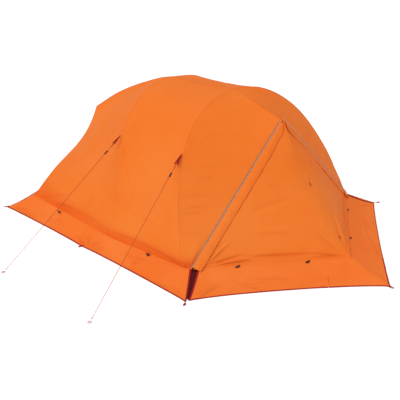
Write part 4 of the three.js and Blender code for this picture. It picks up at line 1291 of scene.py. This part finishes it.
def loops_and_hooks():
    peg_loop("peg_loop_front", SKIRT_TIP + [-.001, 0, 0], (1, 0, 0), length=.022, replaces="stake_loop_front")
    peg_loop("peg_loop_rear", SKIRT_TAIL + [.001, 0, 0], (-1, 0, 0), length=.022, replaces="stake_loop_rear")
    for side in (NEAR, FAR):
        flip = sided(side)
        peg_loop(f"peg_loop_front_{side}", flip(SKIRT_CORNER + [.014, -.030, 0]), flip([.35, -.94, 0]),
                 .016, .010)
        peg_loop(f"peg_loop_middle_{side}", flip([-1.121, -1.088, 0]), flip([0, -1, 0]))
        peg_loop(f"peg_loop_rear_{side}", flip(SKIRT_REAR_CORNER + [-.002, .006, 0]), flip([-.70, -.72, 0]),
                 .028)
        for number, (spot, out) in enumerate(HOOK_SPOTS, 1):
            hem_hook(side, number, spot, out)


def crease_chord(share):
    """The CAD crease, and the unit vector down along it, that the toggles lie on."""
    line = lambda v: mix(HEM_TIP, FRONT_APEX, v) + CREASE_HANG * (CREASE_SLACK * v * (1 - v))
    return line(share), unit(line(share - .01) - line(share))


def toggles():
    """Two toggles on short cords at the crease, which hold a door when it is rolled back."""
    for name, share, first in (("upper", .565, [(-.080, .305, .590), (.040, .120, .625), (.124, .006, .604)]),
                               ("lower", .168, [(.352, .040, .262), (.372, .012, .250)])):
        spot, down = crease_chord(share)
        out = np.array([-down[2], 0, down[0]])
        root = spot + out * TOGGLE_STANDOFF
        path, _ = curve_through(
            [*first, root + out * .004 - down * .004, root + down * .002, root + down * .010])
        t = np.linspace(0, 1, 22)
        size = .72 + .28 * np.sin(np.pi * np.clip(t * 1.04, 0, 1)) ** .4
        size *= 1 - .26 * np.exp(-((t - .5) / .12) ** 2)
        bar = rod(mix(root + down * .007, root + down * .032, t), [0, 1, 0], .0044, 14, size)
        piece(f"toggle_cord_{name}", [rod(path(np.linspace(0, 1, 40)), [.7, .1, .5], .0008)], "string")
        piece(f"toggle_bar_{name}", [bar], "toggle", f"toggle_{name}", f"crease_toggle_{name}")


# ---------------------------------------------------------------- poles

def inset_hoop(x0, profile):
    """A hoop pole's middle line, which runs inside the fly's seam, and its length."""
    seam, _ = curve_through([(0, -y, z) for y, z in profile])
    near = []
    for k in range(9):
        p, q = seam(k / 9), seam(k / 9 + .002)
        d = unit(q - p)
        near.append(p + np.array([0, d[2], -d[1]]) * POLE_INSET)
    foot = np.array([0, near[0][1] - .008, POLE_RADIUS * .8])
    line = [foot, *near, np.array([0, 0, profile[-1][1] - POLE_INSET])]
    line += [mirror(p) for p in line[-2::-1]]
    return curve_through([(x0 + HOOP_LEAN * p[2], p[1], p[2]) for p in line])


def pole(name, curve, shares, hint):
    """A pole in sections, each with its ferrule sleeve over the joint and a tip at each end."""
    at, length = curve
    gap = .0006 / length
    for k, (a, b) in enumerate(zip(shares, shares[1:]), 1):
        path = at(np.linspace(a + gap, b - gap, 72))
        piece(f"{name}_tube_{k}", [rod(path, hint, POLE_RADIUS, 14)], "alloy", replaces=f"{name}_section_{k}")
    crimped = np.array([.90, *[1] * 14, .90])
    for k, share in enumerate(shares[1:-1], 1):
        path = at(np.linspace(share - .045 / length, share + .045 / length, 16))
        piece(f"{name}_ferrule_{k}", [rod(path, hint, POLE_RADIUS + .0009, 14, crimped)], "ferrule")
    tips = []
    for share, step in ((shares[0], 1), (shares[-1], -1)):
        path = at(np.clip(share + step * np.linspace(0, .030, 8) / length, 0, 1))
        tips.append(rod(path, hint, POLE_RADIUS + .0008, 14, np.array([.55, .8, .95, 1, 1, 1, 1, .9])))
    piece(f"{name}_tips", tips, "plastic")


def foot_tab(name, side):
    """The webbing tab under a hoop's foot, with the eyelet that the pole's tip stands in."""
    node = f"pole_foot_tab_{name}_{side}"
    low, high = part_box(node)
    x = (low.x + high.x) / 2 - SHIFT[0]
    outward = -1 if side == NEAR else 1
    inner, outer = (low.y, high.y) if side == FAR else (high.y, low.y)
    strap = run([x, inner, .0002], [x, outer, .0002], 20)
    ring = arc([x, outer - outward * .0165, .0024], [.0072, 0, 0], [0, .0072, 0], turn(24))
    piece(f"pole_tab_{name}_{side}", [band(strap, [0, 0, 1], .021, .0018)], "webbing", replaces=node)
    piece(f"pole_eyelet_{name}_{side}", [rod(ring, [0, 0, 1], .0014, closed=True)], "ferrule")


def poles():
    for name, x0, profile in (("front_hoop", FRONT_HOOP_X, FRONT_HOOP),
                              ("rear_hoop", REAR_HOOP_X, REAR_HOOP)):
        pole(name, inset_hoop(x0, profile), [0, .25, .5, .75, 1], [1, 0, .4])
    under = curve_through(ridge_line(np.linspace(0, 1, 25)) - [0, 0, RIDGE_POLE_DROP])
    pole("ridge_pole", under, [.014, .30, .62, .988], [0, 1, 0])
    for node in ("crossing_clip_front", "crossing_clip_rear"):
        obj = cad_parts[node]
        obj.data.materials.clear()
        obj.data.materials.append(LOOKS["plastic"])
    for side in (NEAR, FAR):
        for name in ("front", "rear"):
            foot_tab(name, side)


# ---------------------------------------------------------------- inner tent

INNER_FOOT = TUB_TOP + .002
INNER_CORNER = np.array([FLOOR_SIDE_END, .001 - FLOOR_HALF, INNER_FOOT])
LEAN = unit(np.array([HOOP_LEAN, 0, 1.0]))
LEAN_SCALE = math.hypot(HOOP_LEAN, 1)
FACING = np.cross([0, 1, 0], LEAN)


def hung(a, b, u, v, sag):
    """A panel between two lines of points, which sags between them."""
    grid = a[:, None] + (b - a)[:, None] * u[None, :, None]
    depth = sag * (4 * u * (1 - u))[None] * np.sin(np.pi * v)[:, None]
    return grid - normals_of(grid, AWAY) * depth[..., None]


def inner_sides():
    v = np.linspace(0, 1, 70)
    ribs = [inner_front_line(v), inner_rear_line(v), mix(INNER_CORNER, INNER_REAR_APEX, v)]
    for side, seed in ((NEAR, 101), (FAR, 107)):
        front = hung(ribs[0], ribs[1], np.linspace(.006, 1, 34), v, .020)
        rear = hung(ribs[1], ribs[2], np.linspace(0, 1, 46), v, .020)
        whole = np.concatenate([front, rear[:, 1:]], 1)
        held = (smooth(v, 0, .05) * smooth(1 - v, 0, .05))[:, None]
        whole = relax(whole, normals_of(whole, AWAY), seed, [], .004, held)
        whole[-1, :, 1] = 0
        whole[..., 1] = np.minimum(whole[..., 1], 0)
        sheet = cloth(f"inner_side_{side}_cloth", one_side(whole, side), "inner", [f"inner_side_{side}"],
                      "tent")


def inner_tail():
    v = np.linspace(0, .96, 34)
    foot = np.array([FLOOR_TAIL, 0, INNER_FOOT])
    grid = hung(mix(INNER_CORNER, INNER_REAR_APEX, v), mix(foot, INNER_REAR_APEX, v), np.linspace(0, 1, 40),
                v, .012)
    grid[:, -1, 1] = 0
    tail = cloth("inner_tail_cloth", both_sides(grid, grid), "inner", ["inner_tail"], "tent")


def on_front(y, h, off):
    """Points on the leaning front wall, by their place across and their height along it."""
    level = np.multiply.outer(y, [0.0, 1.0, 0.0])
    return np.array([INNER_FRONT_X, 0, 0]) + level + np.multiply.outer(h, LEAN) + FACING * off


def door_outline(half, sill, shoulder, count):
    """The inner door's edge from its lower near corner over the arch to the other, as (y, height)."""
    t = np.linspace(0, 1, 60)[:, None]
    p = np.array([[-half, shoulder], [-half, shoulder + .24], [half, shoulder + .24], [half, shoulder]])
    arch = (1 - t) ** 3 * p[0] + 3 * (1 - t) ** 2 * t * p[1] + 3 * (1 - t) * t * t * p[2] + t ** 3 * p[3]
    line = np.vstack([[-half, sill], arch, [half, sill]])
    s = np.concatenate([[0], np.cumsum(np.linalg.norm(np.diff(line, axis=0), axis=1))])
    at = np.linspace(0, s[-1], count)
    return np.stack([np.interp(at, s, line[:, k]) for k in range(2)], 1)


def inner_front():
    """The front wall round the inner door's opening, and the door's zip on the opening's edge."""
    rim = inner_front_line(np.linspace(0, 1, 40))
    rim = np.vstack([rim, mirror(rim)[::-1][1:]])[:, 1:] * [1, LEAN_SCALE]
    opening = door_outline(DOOR_HALF + .004, DOOR_SILL - .004, DOOR_SHOULDER, len(rim))
    y, h = np.moveaxis(opening + (rim - opening) * np.linspace(0, 1, 22)[:, None, None], -1, 0)
    wall = on_front(y, h, .0012) + FACING * .003 * noise(np.stack([y, h, y * 0], -1), .2, 5)[..., None]
    y, h = np.meshgrid(np.linspace(opening[0, 0], opening[-1, 0], 30),
                       np.linspace(.110 * LEAN_SCALE + .002, DOOR_SILL - .004, 4))
    sill = on_front(y, h, .0012)
    front = cloth("inner_front_cloth", [(wall, False), (sill, True)], "inner", ["inner_front_wall"], "tent")
    rail = on_front(*opening.T, .0026)
    coil = piece("inner_zip_coil", [band(rail, FACING, .013, .0012)], "coil")


def inner_leaf():
    """The inner door: a netting leaf with a hem round its arch."""
    outline = door_outline(DOOR_HALF - .002, DOOR_SILL + .001, DOOR_SHOULDER - .004, 60)
    centre = np.array([0, .46])
    r = np.linspace(0, 1, 24)[:, None]

    def spread(edge):
        y, h = np.moveaxis(centre + (edge - centre) * r[..., None], -1, 0)
        slack = .004 * noise(np.stack([y, h, y * 0], -1), .16, 9) * (1 - r)
        return on_front(y, h, .0014) + FACING * slack[..., None]

    leaf = [spread(outline), spread(run(outline[-1], outline[0], 24))]
    sheet = cloth("inner_door_cloth", [(part, False) for part in leaf], "netting", ["inner_door"],
                  "inner_door_panel", weld=1e-4)
    hem = band(on_front(*outline.T, .0022), FACING, .012, .0010)
    edge = piece("inner_door_edge", [hem], "inner", "inner_door_panel")


def inner_slider():
    low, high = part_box("inner_zip_slider")
    at = np.array((low + high) / 2) - SHIFT
    body = block_data((.0085, .0042, .015), at, [[0, 1.0, 0], FACING, LEAN], .0011, 2, [(2, 0.0, .004, .2)])
    tab = run(at - LEAN * .006, at - LEAN * .030, 8) + FACING * .0015
    piece("inner_zip_pull", [body, band(tab, FACING, .006, .0014)], "plastic", "inner_slider",
          "inner_zip_slider")


def inner_floor():
    """The floor and the tub wall round it."""
    corner = np.array([FLOOR_SIDE_END, -FLOOR_HALF, 0])
    side = np.vstack([run([FLOOR_FRONT, -FLOOR_HALF, 0], corner, 60),
                      run(corner, [FLOOR_TAIL, 0, 0], 30)[1:]])
    rows = np.linspace(1, 0, 40)
    half = np.stack([side * [1, r, 1] for r in rows])
    half[..., 2] = .0016 + .0010 * np.maximum(0, noise(half, .12, 4)) * (rows < .99)[:, None]
    half[-1, :, 1] = 0
    floor = cloth("inner_floor_cloth", both_sides(half, half), "floor", ["inner_floor"], "tent")

    edge = np.vstack([run([FLOOR_FRONT, 0, 0], [FLOOR_FRONT, -FLOOR_HALF, 0], 24), side[1:]])
    rise = np.linspace(0, 1, 12)
    wall = np.stack([edge + [0, 0, .0022 + r * (TUB_TOP - .003)] for r in rise])
    dent = -.0012 + .0016 * noise(wall, .07, 6) * np.sin(np.pi * rise)[:, None]
    wall = wall + normals_of(wall, AWAY) * dent[..., None]
    wall[:, [0, -1], 1] = 0
    tub = cloth("inner_tub_walls", both_sides(wall, wall), "floor", ["inner_tub_wall"], "tent")


def inner_clips():
    """Clips on short tapes that hang the inner tent from the hoops."""
    for name, x0, profile, inner in (("front", FRONT_HOOP_X, FRONT_HOOP, inner_front_line),
                                     ("rear", REAR_HOOP_X, REAR_HOOP, inner_rear_line)):
        outer, _ = inset_hoop(x0, profile)
        line = inner(np.linspace(0, 1, 200))
        for number, share in enumerate((.15, .27, .39), 1):
            at = outer(share)
            foot = line[np.argmin(np.linalg.norm(line - at, axis=1))]
            out = unit(at - foot)
            across = unit(np.cross(out, [1, 0, 0]))
            grip = POLE_RADIUS + .0018
            hook = arc(at, across * grip, out * grip, np.linspace(-.15 * np.pi, 1.15 * np.pi, 16))
            tape = run(foot, at - out * (POLE_RADIUS + .003), 8)
            for side in (NEAR, FAR):
                flip = sided(side)
                piece(f"inner_clip_{name}_{side}_{number}",
                      [band(flip(hook), [1, 0, 0], .008, .0016, -.0008)], "plastic")
                piece(f"inner_clip_tape_{name}_{side}_{number}",
                      [band(flip(tape), flip([1, 0, .4]), .010, .0012)], "inner")


def inner_tent():
    inner_sides()
    inner_tail()
    inner_front()
    inner_leaf()
    inner_slider()
    inner_floor()
    inner_clips()


# ---------------------------------------------------------------- everything

stage_set()
guy_lines()
fly()
skirts()
doors()
corner_webbing()
loops_and_hooks()
toggles()
poles()
inner_tent()
